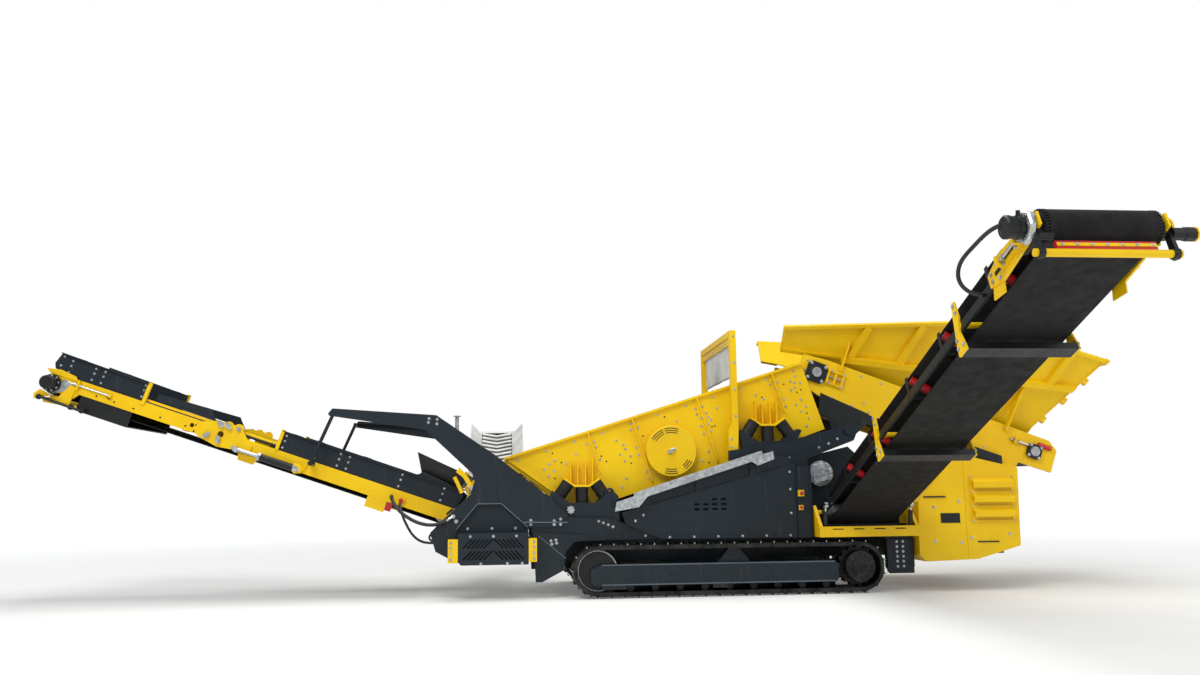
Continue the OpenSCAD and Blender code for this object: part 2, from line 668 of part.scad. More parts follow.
// the front pivot in the feeder's own frame
front_dx = slope_pin[0] - feed_at[0];
front_dz = slope_pin[1] - feed_at[1];
front_pin = [front_dx * cos(feed_slope) - front_dz * sin(feed_slope), front_dx * sin(feed_slope) + front_dz * cos(feed_slope)];
module feeder_sides() {
  color(yellow) shift() feed_place() union() {
    layers(feed_in, feed_half) polygon([[-226, 184], [104, feed_top], [feed_len + 170, feed_top],
      [feed_len + 310, 120], [feed_len + 310, -190], [3010, -205], [2950, -430], [2800, -430], [2730, -215],
      [930, feed_low], [210, feed_low], [-100, -230], [-226, -40]]);
    round_across([feed_bar_u, feed_bar_n], feed_bar_r, feed_in);
    for (x = [500, 1500, 2500]) round_across([x, 0], 50, feed_in);
  }
}
feed_belt_half = feed_in - 40;
module feeder_belt() {
  color(rubber_black) shift() feed_place() across(feed_belt_half) difference() {
    loop2d(feed_len, feed_drum_r + belt_t);
    loop2d(feed_len, feed_drum_r);
  }
}
module feeder_drums() {
  color(steel) shift() feed_place() {
    for (x = [0, feed_len]) union() {
      round_across([x, 0], feed_drum_r - belt_play, feed_belt_half - 10);
      round_across([x, 0], 60, feed_in);
    }
    for (x = [0, feed_len]) layers(feed_half, feed_half + 45) translate([x, 0]) union() {
      square([170, 170], center = true);
      circle(r = 95);
    }
  }
}

// hopper walls lean out from the feeder's belt edge
hopper_foot = 550;
wall_t = 15;
rear_u = 3050;
wall_v = 1411;
rear_lean = 21.1;
rear_top_u = rear_u + wall_v * cos(hopper_lean) * tan(rear_lean);
wall_rim = [-600, 310];
wall_knee = [1777, 1321];
wall_nose = [-500, -70];
wall_form = [[-200, 0], [rear_u, 0], [rear_top_u, wall_v], wall_knee, wall_rim, wall_nose];
// height on the wall of the fold line and of the rim
function fold_v(u) = wall_nose[1] + (u - wall_nose[0]) * 0.2385;
function rim_v(u) = u < wall_knee[0] ? wall_rim[1] + (u - wall_rim[0]) * (wall_knee[1] - wall_rim[1]) / (wall_knee[0] - wall_rim[0])
  : wall_knee[1] + (u - wall_knee[0]) * (wall_v - wall_knee[1]) / (rear_top_u - wall_knee[0]);
module wall_place() {
  translate([0, -hopper_foot, feed_top]) rotate([hopper_lean, 0, 0]) children();
}
// a profile drawn along the wall, standing out from its inner face
module on_wall(t0, t1) {
  wall_place() translate([0, -t0, 0]) rotate([90, 0, 0]) linear_extrude(height = t1 - t0) children();
}
rib_u = [348, 1000, 1700, 2400, 2950];
rib_lean = 60;
rib_w = 90;
module hopper_wall() {
  feed_place() difference() {
    union() {
      on_wall(0, wall_t) polygon(wall_form);
      on_wall(wall_t - 1, 60) polygon([wall_rim, wall_knee, wall_knee - [0, 50], wall_rim + [10, -45]]);
      on_wall(wall_t - 1, 60) polygon([wall_knee, [rear_top_u, wall_v], [rear_top_u - 20, wall_v - 50],
        wall_knee - [0, 50]]);
      on_wall(wall_t - 1, 60) polygon([wall_nose + [16, 22], wall_nose + [8, 80], [-240, fold_v(-240) + 64], [-240, fold_v(-240) + 16]]);
      on_wall(wall_t - 1, 110) polygon([[300, fold_v(300)], [rear_u + 300, fold_v(rear_u + 300)],
        [rear_u + 300, fold_v(rear_u + 300) + 80], [300, fold_v(300) + 80]]);
      on_wall(wall_t - 1, 40) polygon([[-265, fold_v(-265) + 26], [330, fold_v(330) + 26], [330, fold_v(330) + 70],
        [-265, fold_v(-265) + 54]]);
      for (u = rib_u) on_wall(wall_t - 1, 75) polygon([[u, fold_v(u) + 60], [u + rib_w, fold_v(u) + 60],
        [u + rib_lean + rib_w, rim_v(u + rib_lean) - 30], [u + rib_lean, rim_v(u + rib_lean) - 30]]);
      // stays down to the feeder's side plates
      for (u = [300, 1500, 2700]) translate([u, 0, 0]) rotate([90, 0, 90]) linear_extrude(height = 20)
        polygon([[-feed_half, 130], [-feed_half - 50, 130], [-stay_y(u) - 25, stay_top(u) - 70],
          [-stay_y(u), stay_top(u)], [-feed_half, feed_top + 298]]);
    }
    rear_wall_block();
  }
}
// top of a stay, just under the wall's outer face
function stay_v(u) = max(430, fold_v(u));
function stay_y(u) = hopper_foot + stay_v(u) * sin(hopper_lean) + 6;
function stay_top(u) = feed_top + stay_v(u) * cos(hopper_lean) - 4;
module rear_place() {
  translate([rear_u, 0, feed_top]) rotate([0, rear_lean, 0]) children();
}
rear_h = wall_v * cos(hopper_lean) / cos(rear_lean);
rear_out = hopper_foot + wall_v * sin(hopper_lean);
module rear_wall_block() {
  rear_place() translate([0, -2000, -400]) cube([400, 4000, 2400]);
}
module hopper_near() {
  color(yellow) shift() hopper_wall();
}
module hopper_far() {
  color(yellow) shift() mirror([0, 1, 0]) hopper_wall();
}
module hopper_rear() {
  color(yellow) shift() feed_place() rear_place() union() {
    rotate([90, 0, 90]) linear_extrude(height = wall_t)
      polygon([[-hopper_foot - 20, 0], [hopper_foot + 20, 0], [rear_out + 30, rear_h], [-rear_out - 30, rear_h]]);
    rotate([90, 0, 90]) linear_extrude(height = 60)
      polygon([[-rear_out - 30, rear_h], [-rear_out + 5, rear_h - 60], [rear_out - 5, rear_h - 60], [rear_out + 30, rear_h]]);
    for (y = [-500, 0, 500]) translate([0, y - 8, 80]) cube([70, 16, rear_h - 100]);
    for (s = [-1, 1]) for (t = [0.2, 0.45, 0.7]) translate([wall_t - 1, s * (hopper_foot + t * (rear_out - hopper_foot)) - 30, t * rear_h])
      cube([60, 60, 90]);
  }
}

// engine housings: sheet shells, open below
house_form = [[5820, 1730], [6620, 1540], [6590, 550], [6010, 390], [5330, 370], [5240, 450], [5260, 1120]];
house_hollow = [[5834, 1686], [6578, 1510], [6552, 590], [6552, 300], [5372, 300], [5284, 460], [5302, 1106]];
module housing() {
  difference() {
    layer(beam_out, house_out) polygon(house_form);
    layer(beam_out + 40, house_out - 40) polygon(house_hollow);
    layer(house_out - 6, house_out + 5) translate([5880, 300]) square([6, 1500]);
  }
}
module engine_housing_near() {
  color(yellow) shift() housing();
}
module engine_housing_far() {
  color(yellow) shift() mirror([0, 1, 0]) housing();
}
// three awning slats over dark openings
louvre_at = [5960, 850];
louvre_size = [580, 590];
louvre_pitch = 185;
slat_form = [[0, 160], [-62, 118], [-62, 45], [-48, 45], [-48, 104], [0, 138]];
module engine_louvres() {
  color(yellow) shift() for (s = [0, 1]) mirror([0, s, 0]) union() {
    layer(house_out, house_out + 14) difference() {
      translate(louvre_at) square(louvre_size);
      for (i = [0 : 2]) translate([louvre_at[0] + 40, louvre_at[1] + 30 + louvre_pitch * i]) square([500, 105]);
    }
    for (i = [0 : 2]) translate([louvre_at[0] + 20, -house_out - 13, louvre_at[1] + 25 + louvre_pitch * i])
      rotate([90, 0, 90]) linear_extrude(height = 540) polygon(slat_form);
  }
}

// side conveyor: x up along it from its tail drum, y across, z square to its belt
side_at = [4550, -1050, 1000];
side_drum_r = 130;
side_in = side_belt_half + 40;
side_t = 30;
side_out = side_in + side_t;
trough_half = 180;
trough_a = 35;
wing_len = side_belt_half - trough_half;
trough_x = [700, side_len - 700];
flat_x = [120, side_len - 120];
idler_x = [for (t = [0.054, 0.259, 0.528, 0.722, 0.959]) trough_x[0] + t * (trough_x[1] - trough_x[0])];
idler_r = 45;
guard_x = [2290, 4570];
pivot_r = 30;
// running play round pins and rods
pin_play = 0.05;
module side_place() {
  translate(side_at) rotate([0, 0, -90]) rotate([0, -side_slope, 0]) children();
}
// a profile drawn in Y and Z of the conveyor's own frame
module slice(x, h) {
  translate([x, 0, 0]) rotate([90, 0, 90]) linear_extrude(height = h) children();
}
module wing2d(a) {
  polygon([[trough_half - 2, side_drum_r], [trough_half, side_drum_r],
    [trough_half + wing_len * cos(a), side_drum_r + wing_len * sin(a)],
    [trough_half + wing_len * cos(a) - belt_t * sin(a), side_drum_r + wing_len * sin(a) + belt_t * cos(a)],
    [trough_half - belt_t * tan(a / 2), side_drum_r + belt_t], [trough_half - 6, side_drum_r + belt_t]]);
}
module side_belt() {
  color(rubber_black) shift() side_place() union() {
    difference() {
      across(side_belt_half) difference() {
        loop2d(side_len, side_drum_r + belt_t);
        loop2d(side_len, side_drum_r);
      }
      for (s = [0, 1]) mirror([0, s, 0])
        translate([flat_x[0], trough_half, 60]) cube([flat_x[1] - flat_x[0], wing_len + 10, 200]);
    }
    for (s = [0, 1]) mirror([0, s, 0]) {
      slice(trough_x[0], trough_x[1] - trough_x[0]) wing2d(trough_a);
      hull() {
        slice(flat_x[0] - 1, 1) wing2d(0);
        slice(trough_x[0], 1) wing2d(trough_a);
      }
      hull() {
        slice(trough_x[1] - 1, 1) wing2d(trough_a);
        slice(flat_x[1], 1) wing2d(0);
      }
    }
  }
}
module side_frame() {
  color(anthracite) shift() side_place() union() {
    difference() {
      layers(side_in, side_out) polygon([[-110, -60], [side_len - 300, -60], [side_len - 200, -110],
        [side_len + 60, -110], [side_len + 100, 0], [side_len + 60, 70], [side_len - 260, 70], [side_len - 330, 20],
        [420, 20], [340, 70], [-110, 70]]);
      round_across([0, 0], pivot_r + pin_play, side_out + 10);
    }
    for (x = idler_x) {
      translate([x - 30, -side_in, -10]) cube([60, 2 * side_in, 25]);
      for (s = [0, 1]) mirror([0, s, 0]) {
        translate([x - 25, trough_half - 8, 14]) cube([50, 10, 90]);
        translate([x - 25, side_in - 40, 14]) cube([50, 10, 235]);
      }
    }
    rounds_y(lift_pin, lift_pin_r, side_out, side_out + 65);
  }
}
module side_drums() {
  color(steel) shift() side_place() for (x = [0, side_len]) union() {
    round_across([x, 0], side_drum_r - belt_play, side_belt_half - 10);
    round_across([x, 0], 45, side_in);
  }
}
module side_idlers() {
  color(red) shift() side_place() for (x = idler_x) {
    round_across([x, side_drum_r - idler_r - belt_play], idler_r, trough_half - 8);
    for (s = [0, 1]) mirror([0, s, 0])
      translate([x, trough_half + (idler_r + belt_play) * sin(trough_a), side_drum_r - (idler_r + belt_play) * cos(trough_a)])
        rotate([trough_a - 90, 0, 0]) translate([0, 0, 25]) cylinder(r = idler_r, h = wing_len - 50);
  }
}
// return roller guards: two ribbed boxes under the belt
guard_low = -side_drum_r - belt_t - 120;
module side_guards() {
  color(rubber_black) shift() side_place() for (x = guard_x) across(side_out)
    polygon([[x - 85, guard_low], [x + 75, guard_low], [x + 75, guard_low + 62], [x + 12, guard_low + 62],
      [x + 8, guard_low + 22], [x - 8, guard_low + 22], [x - 12, guard_low + 62], [x - 85, guard_low + 62]]);
}
// head plates, drive, bearing and the belt scraper
scraper_at = [side_len + 40, -265];
arm_front = 75;
arm_low_z = -300;
module side_head() {
  color(yellow) shift() side_place() {
    for (x = guard_x) layers(side_out, side_out + 20) polygon([[x - 85, guard_low], [x + 75, guard_low],
      [x + 55, guard_low + 90], [x + 20, -60], [x + 70, 60], [x + 60, 230], [x + 5, 240], [x - 30, 90],
      [x - 60, -60], [x - 85, guard_low + 90]]);
    union() {
      layers(side_out, side_out + 20) polygon([[side_len - 760, -60], [side_len - 560, -120], [side_len - 120, -90],
        [side_len + 130, -60], [side_len + 130, 60], [side_len - 80, 95], [side_len - 520, 120], [side_len - 760, 60]]);
      layers(side_out + 20, side_out + 40) polygon([[side_len - 480, -50], [side_len - 160, -40], [side_len - 160, 50],
        [side_len - 480, 70]]);
    }
    union() {
      round_across(scraper_at, 32, side_out + 80);
      layers(side_out + 20, side_out + 45) polygon([[side_len + 20, -70], [side_len + arm_front, -70],
        [side_len + arm_front, arm_low_z], [side_len + 5, arm_low_z]]);
      translate([scraper_at[0] - 12, -side_belt_half + 60, scraper_at[1]]) cube([24, 2 * side_belt_half - 120, 95]);
    }
    round_y([side_len, 0], 120, side_out + 40, side_out + 80);
    round_y([side_len, 0], 85, side_out + 80, side_out + 230);
    mirror([0, 1, 0]) round_y([side_len, 0], 90, side_out + 20, side_out + 80);
    mirror([0, 1, 0]) round_y([side_len + 60, -90], 45, side_out + 45, side_out + 230);
  }
}

// lift cylinders: both ends lie at one distance from the pivot
lift_pin = [350, -40];
lift_pin_r = 14;
lift_open = 10;
lift_reach = norm(lift_pin);
lift_turn = 55;
lift_a = side_slope + atan2(lift_pin[1], lift_pin[0]);
lift_b = lift_a - lift_turn;
lift_base = [side_at[1] - lift_reach * cos(lift_b), side_at[2] + lift_reach * sin(lift_b)];
lift_len = 2 * lift_reach * sin(lift_turn / 2);
lift_dir = lift_a - lift_turn / 2 + 90;
barrel_len = 250;
barrel_r = 28;
rod_r = 16;
eye_y = side_out + 20;
eye_w = 44;
// a profile or round along X on both sides of the conveyor
module lift_place() {
  translate([side_at[0], lift_base[0], lift_base[1]]) rotate([0, 0, -90]) rotate([0, -lift_dir, 0]) children();
}
module lift_barrels() {
  color(rubber_black) shift() lift_place() for (s = [0, 1]) mirror([0, s, 0]) difference() {
    union() {
      round_y([0, 0], barrel_r, eye_y, eye_y + eye_w);
      translate([0, -eye_y - eye_w / 2, 0]) rotate([0, 90, 0]) cylinder(r = barrel_r, h = barrel_len);
    }
    round_y([0, 0], lift_pin_r + pin_play, eye_y - 20, eye_y + eye_w + 20);
    translate([30, -eye_y - eye_w / 2, 0]) rotate([0, 90, 0]) cylinder(r = rod_r + pin_play, h = barrel_len);
  }
}
module lift_rods() {
  color(steel) shift() lift_place() for (s = [0, 1]) mirror([0, s, 0]) difference() {
    union() {
      translate([45, -eye_y - eye_w / 2, 0]) rotate([0, 90, 0]) cylinder(r = rod_r, h = lift_len - 45);
      round_y([lift_len, 0], 38, eye_y, eye_y + eye_w);
    }
    round_y([lift_len, 0], lift_pin_r + lift_open, eye_y - 20, eye_y + eye_w + 20);
  }
}
// fixed tail frame: two cheeks on the rail, pivots, base pins and a slotted front plate
cheek_in = eye_y + eye_w + 26;
cheek_t = 40;
front_y = lift_base[0] - 70;
module tail_pair(x0, x1) {
  translate([side_at[0] + x0, 0, 0]) rotate([90, 0, 90]) linear_extrude(height = x1 - x0) children();
  translate([side_at[0] - x1, 0, 0]) rotate([90, 0, 90]) linear_extrude(height = x1 - x0) children();
}
module side_tail_frame() {
  color(yellow) shift() union() {
    tail_pair(cheek_in, cheek_in + cheek_t) polygon([[-rail_out, 700], [front_y, 700], [front_y, 830],
      [side_at[1] - 90, side_at[2] + 90], [side_at[1] + 60, side_at[2] + 90], [side_at[1] + 60, 870], [-rail_out, 870]]);
    tail_pair(side_in + 3, cheek_in) translate([side_at[1], side_at[2]]) circle(r = pivot_r);
    tail_pair(eye_y - 5, cheek_in) translate(lift_base) circle(r = lift_pin_r);
    difference() {
      translate([side_at[0] - cheek_in, front_y, 700]) cube([2 * cheek_in, sheet_t, 130]);
      for (i = [-1.5 : 1 : 1.5]) translate([side_at[0] + i * 270 - 70, front_y - 10, 790]) cube([140, 60, 14]);
    }
  }
}

// a hose through a row of points: a ring of corners square to the path at each point
hose_sides = 8;
function along(p, i) = p[min(i + 1, len(p) - 1)] - p[max(i - 1, 0)];
function across_to(t, ref) = cross(t, ref) / norm(cross(t, ref));
function ring_pt(p, r, t, s, k) = p + r * (cos(k) * s + sin(k) * cross(t, s));
function ring(p, r, t, ref) = [for (k = [0 : hose_sides - 1]) ring_pt(p, r, t, across_to(t, ref), 360 * k / hose_sides)];
function corner(i, k) = i * hose_sides + k % hose_sides;
module hose(p, r, ref) {
  n = len(p);
  pts = [for (i = [0 : n - 1]) each ring(p[i], r, along(p, i) / norm(along(p, i)), ref)];
  walls = [for (i = [0 : n - 2]) for (k = [0 : hose_sides - 1]) each
    [[corner(i, k), corner(i + 1, k), corner(i + 1, k + 1)], [corner(i, k), corner(i + 1, k + 1), corner(i, k + 1)]]];
  polyhedron(points = pts, faces = concat([[for (k = [0 : hose_sides - 1]) k]],
    [[for (k = [hose_sides - 1 : -1 : 0]) corner(n - 1, k)]], walls));
}
hose_a = [[-1440, -780, 1270], [-1440, -840, 1270], [-1420, -920, 1220], [-1340, -1000, 1110], [-1220, -1070, 1020],
  [-1090, -1120, 950], [-960, -1145, 920], [-850, -1153, 920], [-770, -1153, 945], [-730, -1153, 970]];
hose_b = [[-1330, -780, 1180], [-1330, -840, 1180], [-1310, -890, 1080], [-1250, -925, 940], [-1180, -945, 830],
  [-1110, -958, 750], [-1040, -966, 705], [-960, -970, 690], [-895, -987, 690], [-847, -1035, 690], [-830, -1092, 690],
  [-830, -1100, 690]];
hose_c = [[5979, -660, 61], [5937, -660, 103], [5860, -664, 150], [5760, -668, 190], [5640, -670, 222],
  [5490, -668, 250], [5340, -664, 264], [5200, -660, 256], [5095, -658, 215], [5035, -655, 145], [5025, -648, 70],
  [5050, -628, 8], [5090, -590, -18], [5118, -550, -20], [5120, -525, -20], [5120, -510, -20]];
module hoses() {
  color(rubber_black) shift() {
    hose(hose_a, 22, [0, 1, 0.3]);
    hose(hose_b, 16, [0, 1, 0.3]);
  }
}
module head_hose() {
  color(rubber_black) shift() side_place() hose(hose_c, 18, [0.6, -0.5, -0.6]);
}

// middle of the machine's box, taken to the origin: belt end, hopper corner, scraper arm and cross belt end
tail_end_x = tail_foot[0] - tail_x1 * cos(tail_slope) + tail_mid * sin(tail_slope) - tail_drum_r - belt_t;
lip_u = rear_u + 60 * cos(rear_lean) + rear_h * sin(rear_lean);
lip_n = feed_top - 60 * sin(rear_lean) + rear_h * cos(rear_lean);
hopper_end_x = feed_at[0] + lip_u * cos(feed_slope) + lip_n * sin(feed_slope);
side_end_y = side_at[1] - (side_len + arm_front) * cos(side_slope) + arm_low_z * sin(side_slope);
cross_end_y = max([for (p = cross_end_pts(cross_drum_r + belt_t)) p[0]]);
mid_x = (tail_end_x + hopper_end_x) / 2;
mid_y = (side_end_y + cross_end_y) / 2;

track_chain_near();
track_chain_far();
track_frames();
track_wheels();
track_rollers();
main_frame();
main_rails();
front_wedges();
side_panels();
rear_plates();
slope_beams();
spring_seats();
gantry_near();
gantry_far();
tie_rods();
tail_beams_inner();
tail_beams_outer();
tail_fold_plates();
tail_skirts();
tail_belt();
tail_drums();
tail_motors();
fold_cylinders();
tail_guards();
tail_scraper();
cross_frame();
cross_belt();
cross_drums();
cross_guard();
cross_brackets();
screen_side_near();
screen_side_far();
screen_decks();
screen_beams();
vibrator_covers();
springs_lower();
springs_upper();
portal_frame();
portal_curtain();
walkways();
feeder_sides();
feeder_belt();
feeder_drums();
hopper_near();
hopper_far();
hopper_rear();
engine_housing_near();
engine_housing_far();
engine_louvres();
side_frame();
side_belt();
side_drums();
side_idlers();
side_guards();
side_head();
side_tail_frame();
lift_barrels();
lift_rods();
hoses();
head_hose();
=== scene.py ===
# %% [markdown]
# # A tracked vibrating screen plant, dressed for a picture
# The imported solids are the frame. This lesson gives them paint, rubber and zinc, and adds the small pieces that a
# builder of such a plant bolts on last: fasteners, hoses, chevrons, bearings and covers. Every new piece is an
# array of points worked out with numpy and put into a mesh in one go.

# %% Load the frame
import json
import math
import bpy
import numpy as np
from mathutils import Matrix, Vector

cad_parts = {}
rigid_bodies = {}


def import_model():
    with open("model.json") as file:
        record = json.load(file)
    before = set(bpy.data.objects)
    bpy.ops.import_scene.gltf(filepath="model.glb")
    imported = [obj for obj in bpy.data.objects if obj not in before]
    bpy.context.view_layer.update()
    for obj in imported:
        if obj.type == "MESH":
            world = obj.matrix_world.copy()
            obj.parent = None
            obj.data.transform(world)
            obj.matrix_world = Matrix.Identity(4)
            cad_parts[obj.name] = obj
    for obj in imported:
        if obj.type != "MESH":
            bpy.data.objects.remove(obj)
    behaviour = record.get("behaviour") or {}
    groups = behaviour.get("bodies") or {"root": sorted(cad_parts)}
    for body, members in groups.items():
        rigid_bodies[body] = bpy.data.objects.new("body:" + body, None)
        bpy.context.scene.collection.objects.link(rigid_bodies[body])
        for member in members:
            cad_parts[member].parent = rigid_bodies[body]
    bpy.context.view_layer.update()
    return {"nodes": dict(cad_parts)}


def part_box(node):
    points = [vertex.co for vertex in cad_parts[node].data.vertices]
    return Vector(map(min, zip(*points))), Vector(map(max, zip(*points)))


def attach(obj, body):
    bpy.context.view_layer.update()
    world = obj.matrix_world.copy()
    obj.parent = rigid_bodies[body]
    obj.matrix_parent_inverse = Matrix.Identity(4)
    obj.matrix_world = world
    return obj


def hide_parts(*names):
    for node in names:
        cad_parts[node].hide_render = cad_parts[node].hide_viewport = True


for left_over in list(bpy.data.objects):
    bpy.data.objects.remove(left_over)
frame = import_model()
NODES = frame["nodes"]
SHIFT = np.array([1.09256, -1.73988, 0.0])  # the part's origin in machine coordinates, metres

# %% [markdown]
# ## The camera
# The picture was taken low, in front of the near track, with a lens of about 30 mm, tipped up a little. The
# camera's place is known in machine coordinates, where X = 0 lies left of the tracks, so the same shift that
# centres the solids is taken off it.

# %% Camera
def unit(v):
    """A vector, or rows of vectors, divided by their length."""
    v = np.asarray(v, float)
    return v / np.linalg.norm(v, axis=-1, keepdims=True)


yaw, pitch, roll = np.radians([5.42, 8.84, -0.7])
look = np.array([math.sin(yaw) * math.cos(pitch), math.cos(yaw) * math.cos(pitch), math.sin(pitch)])
level = np.array([math.cos(yaw), -math.sin(yaw), 0.0])
rise = np.cross(level, look)
right = math.cos(roll) * level + math.sin(roll) * rise
upward = -math.sin(roll) * level + math.cos(roll) * rise
eye = np.array([0.0, -13.8, 1.28]) - SHIFT
camera_data = bpy.data.cameras.new("camera")
camera_data.sensor_width = 36.0
camera_data.lens = 30.0
camera = bpy.data.objects.new("camera", camera_data)
bpy.context.scene.collection.objects.link(camera)
camera.matrix_world = Matrix(np.block([[np.c_[right, upward, -look], eye[:, None]], [0, 0, 0, 1]]).tolist())
bpy.context.scene.camera = camera
print("camera at", eye.round(3))

# %% [markdown]
# ## Helpers for surfaces
# A surface is a grid of points. Neighbours on the grid make the faces, and a grid can close on itself along either
# direction. A box or a plate is an outline drawn out from one place to another, and its faces are turned outward by
# the sign of the volume that they close.

# %% Mesh helpers
def put(name, points, faces, material, body, smooth=False, slot=None):
    """Makes one mesh object at the origin from points and faces, with a finish, riding on a body."""
    mesh = bpy.data.meshes.new(name)
    mesh.from_pydata(np.asarray(points, float).reshape(-1, 3).tolist(), [], [list(map(int, f)) for f in faces])
    mesh.update()
    mesh.validate()
    piece = bpy.data.objects.new(name, mesh)
    bpy.context.scene.collection.objects.link(piece)
    mesh.materials.append(material)
    if smooth:
        mesh.shade_smooth()
    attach(piece, body)
    return piece


def grid_faces(nu, nv, wrap_u=False, wrap_v=False):
    """Corner numbers of the quads of a grid of nu by nv points, closed along a direction where asked."""
    iu = np.arange(nu if wrap_u else nu - 1)
    iv = np.arange(nv if wrap_v else nv - 1)
    a, b = np.meshgrid(iu, iv, indexing="ij")
    c, d = (a + 1) % nu, (b + 1) % nv
    return np.stack([a * nv + b, c * nv + b, c * nv + d, a * nv + d], -1).reshape(-1, 4)


def joined(parts):
    """Many (points, faces) pairs as one pair, with the corner numbers moved on."""
    points, faces, at = [], [], 0
    for p, f in parts:
        points.append(np.asarray(p, float).reshape(-1, 3))
        faces += [tuple(int(i) + at for i in q) for q in f]
        at += len(points[-1])
    return np.concatenate(points), faces


BOX_CORNERS = np.array([[0, 0, 0], [1, 0, 0], [1, 1, 0], [0, 1, 0], [0, 0, 1], [1, 0, 1], [1, 1, 1], [0, 1, 1]])
BOX_FACES = [(0, 3, 2, 1), (4, 5, 6, 7), (0, 1, 5, 4), (1, 2, 6, 5), (2, 3, 7, 6), (3, 0, 4, 7)]


def drawn_out(n):
    """Faces of an outline of n points carried from one place to another: the two ends and the walls between them."""
    k = np.arange(n)
    walls = np.stack([k, (k + 1) % n, (k + 1) % n + n, k + n], -1)
    return [tuple(range(n - 1, -1, -1)), tuple(range(n, 2 * n))] + [tuple(w) for w in walls]


def outward(points, faces):
    """Faces turned so that the volume they close is counted positive: one sixth of the sum of a . (b x c)."""
    points = np.asarray(points, float)
    mid = points.mean(0)
    total = sum(np.dot(points[f[0]] - mid, np.cross(points[f[k]] - mid, points[f[k + 1]] - mid))
                for f in faces for k in range(1, len(f) - 1))
    return points, ([tuple(f) for f in faces] if total > 0 else [tuple(reversed(f)) for f in faces])


print("helpers ready")

# %% [markdown]
# ## Round shapes and copies
# Most fittings of such a plant come off a lathe or are cut from bar, so a profile spun round an axis and a circle
# carried along a path make nearly all of them. A pattern that is repeated, such as a bolt, is one small mesh copied
# by adding its points to each place.

# %% Round shapes and copies
def angles(count):
    """So many angles spread evenly over one turn."""
    return np.linspace(0, 2 * np.pi, count, endpoint=False)


def upright(axis):
    """A direction to measure others from: up, or along X where the axis is itself close to upright."""
    return [0.0, 0.0, 1.0] if abs(axis[2]) < 0.9 else [1.0, 0.0, 0.0]


def ring_faces(count, sides):
    """Faces of a row of rings, each of so many sides, with the first and the last ring closed."""
    last = (count - 1) * sides
    return ([tuple(f[::-1]) for f in grid_faces(count, sides, wrap_v=True)]
            + [tuple(reversed(range(sides))), tuple(last + k for k in range(sides))])


def frames_along(path):
    """Two directions square to a path at each of its points, turning as little as they can."""
    t = unit(np.gradient(path, axis=0))
    n = [unit(np.cross(t[0], upright(t[0])))]
    for k in range(1, len(path)):
        n.append(unit(n[-1] - t[k] * np.dot(n[-1], t[k])))
    n = np.array(n)
    return n, np.cross(t, n)


def tube(path, r, sides=12):
    """A round tube: a circle of radius r carried along a path, with its ends closed by one face each."""
    path = np.asarray(path, float)
    n, b = frames_along(path)
    a = angles(sides)
    ring = n[:, None, :] * np.cos(a)[None, :, None] + b[:, None, :] * np.sin(a)[None, :, None]
    return (path[:, None, :] + ring * r).reshape(-1, 3), ring_faces(len(path), sides)


def rod(a, b, r, sides=10, count=3):
    """A straight tube between two points."""
    return tube(np.linspace(a, b, count), r, sides)


def turned(profile, at=(0, 0, 0), axis=(0, 0, 1), sides=32):
    """A turned shape: a profile of (radius, height) pairs spun round an axis through a point."""
    axis = unit(axis)
    side = unit(np.cross(axis, upright(axis)))
    other = np.cross(axis, side)
    profile = np.asarray(profile, float)
    a = angles(sides)
    ring = np.cos(a)[:, None] * side + np.sin(a)[:, None] * other
    points = np.asarray(at, float) + profile[:, None, 1:2] * axis + profile[:, None, 0:1] * ring[None]
    return points.reshape(-1, 3), ring_faces(len(profile), sides)


def copies(part, places, axis, along=None):
    """One small part, made with its height along z, copied to many places with z turned to an axis."""
    points, faces = part
    axis = unit(axis)
    side = unit(np.cross(upright(axis) if along is None else along, axis))
    turn = np.stack([side, np.cross(axis, side), axis])
    places = np.asarray(places, float).reshape(-1, 1, 3)
    count = len(points)
    every = [tuple(i + k * count for i in f) for k in range(len(places)) for f in faces]
    return (places + (points @ turn)[None]).reshape(-1, 3), every


def hexbolt(r, h):
    """A bolt head on its washer: a round washer, then a six-sided head with a small chamfer."""
    washer = turned([(1.35 * r, 0), (1.35 * r, 0.25 * h), (1.0 * r, 0.25 * h)], sides=12)
    head = turned([(r, 0.2 * h), (r, 0.85 * h), (0.85 * r, h)], sides=6)
    return joined([washer, head])


print("a bolt head has", len(hexbolt(0.01, 0.01)[1]), "faces")

# %% [markdown]
# ## Floor and light
# The plant stands on a pale floor in soft light, as in a studio: one broad light above and in front, a weaker one
# from the right, and an even sky. The sky that is seen is white, and the light it sheds is weaker, so paint keeps
# its depth.

# %% Floor and light
def light(name, at, aim, size, watts):
    """An area light of a size in metres, placed at a point and turned towards another."""
    data = bpy.data.lights.new(name, "AREA")
    data.shape = "RECTANGLE"
    data.size, data.size_y = size
    data.energy = watts
    lamp = bpy.data.objects.new(name, data)
    bpy.context.scene.collection.objects.link(lamp)
    lamp.location = at
    lamp.rotation_euler = (Vector(aim) - Vector(at)).to_track_quat("-Z", "Y").to_euler()


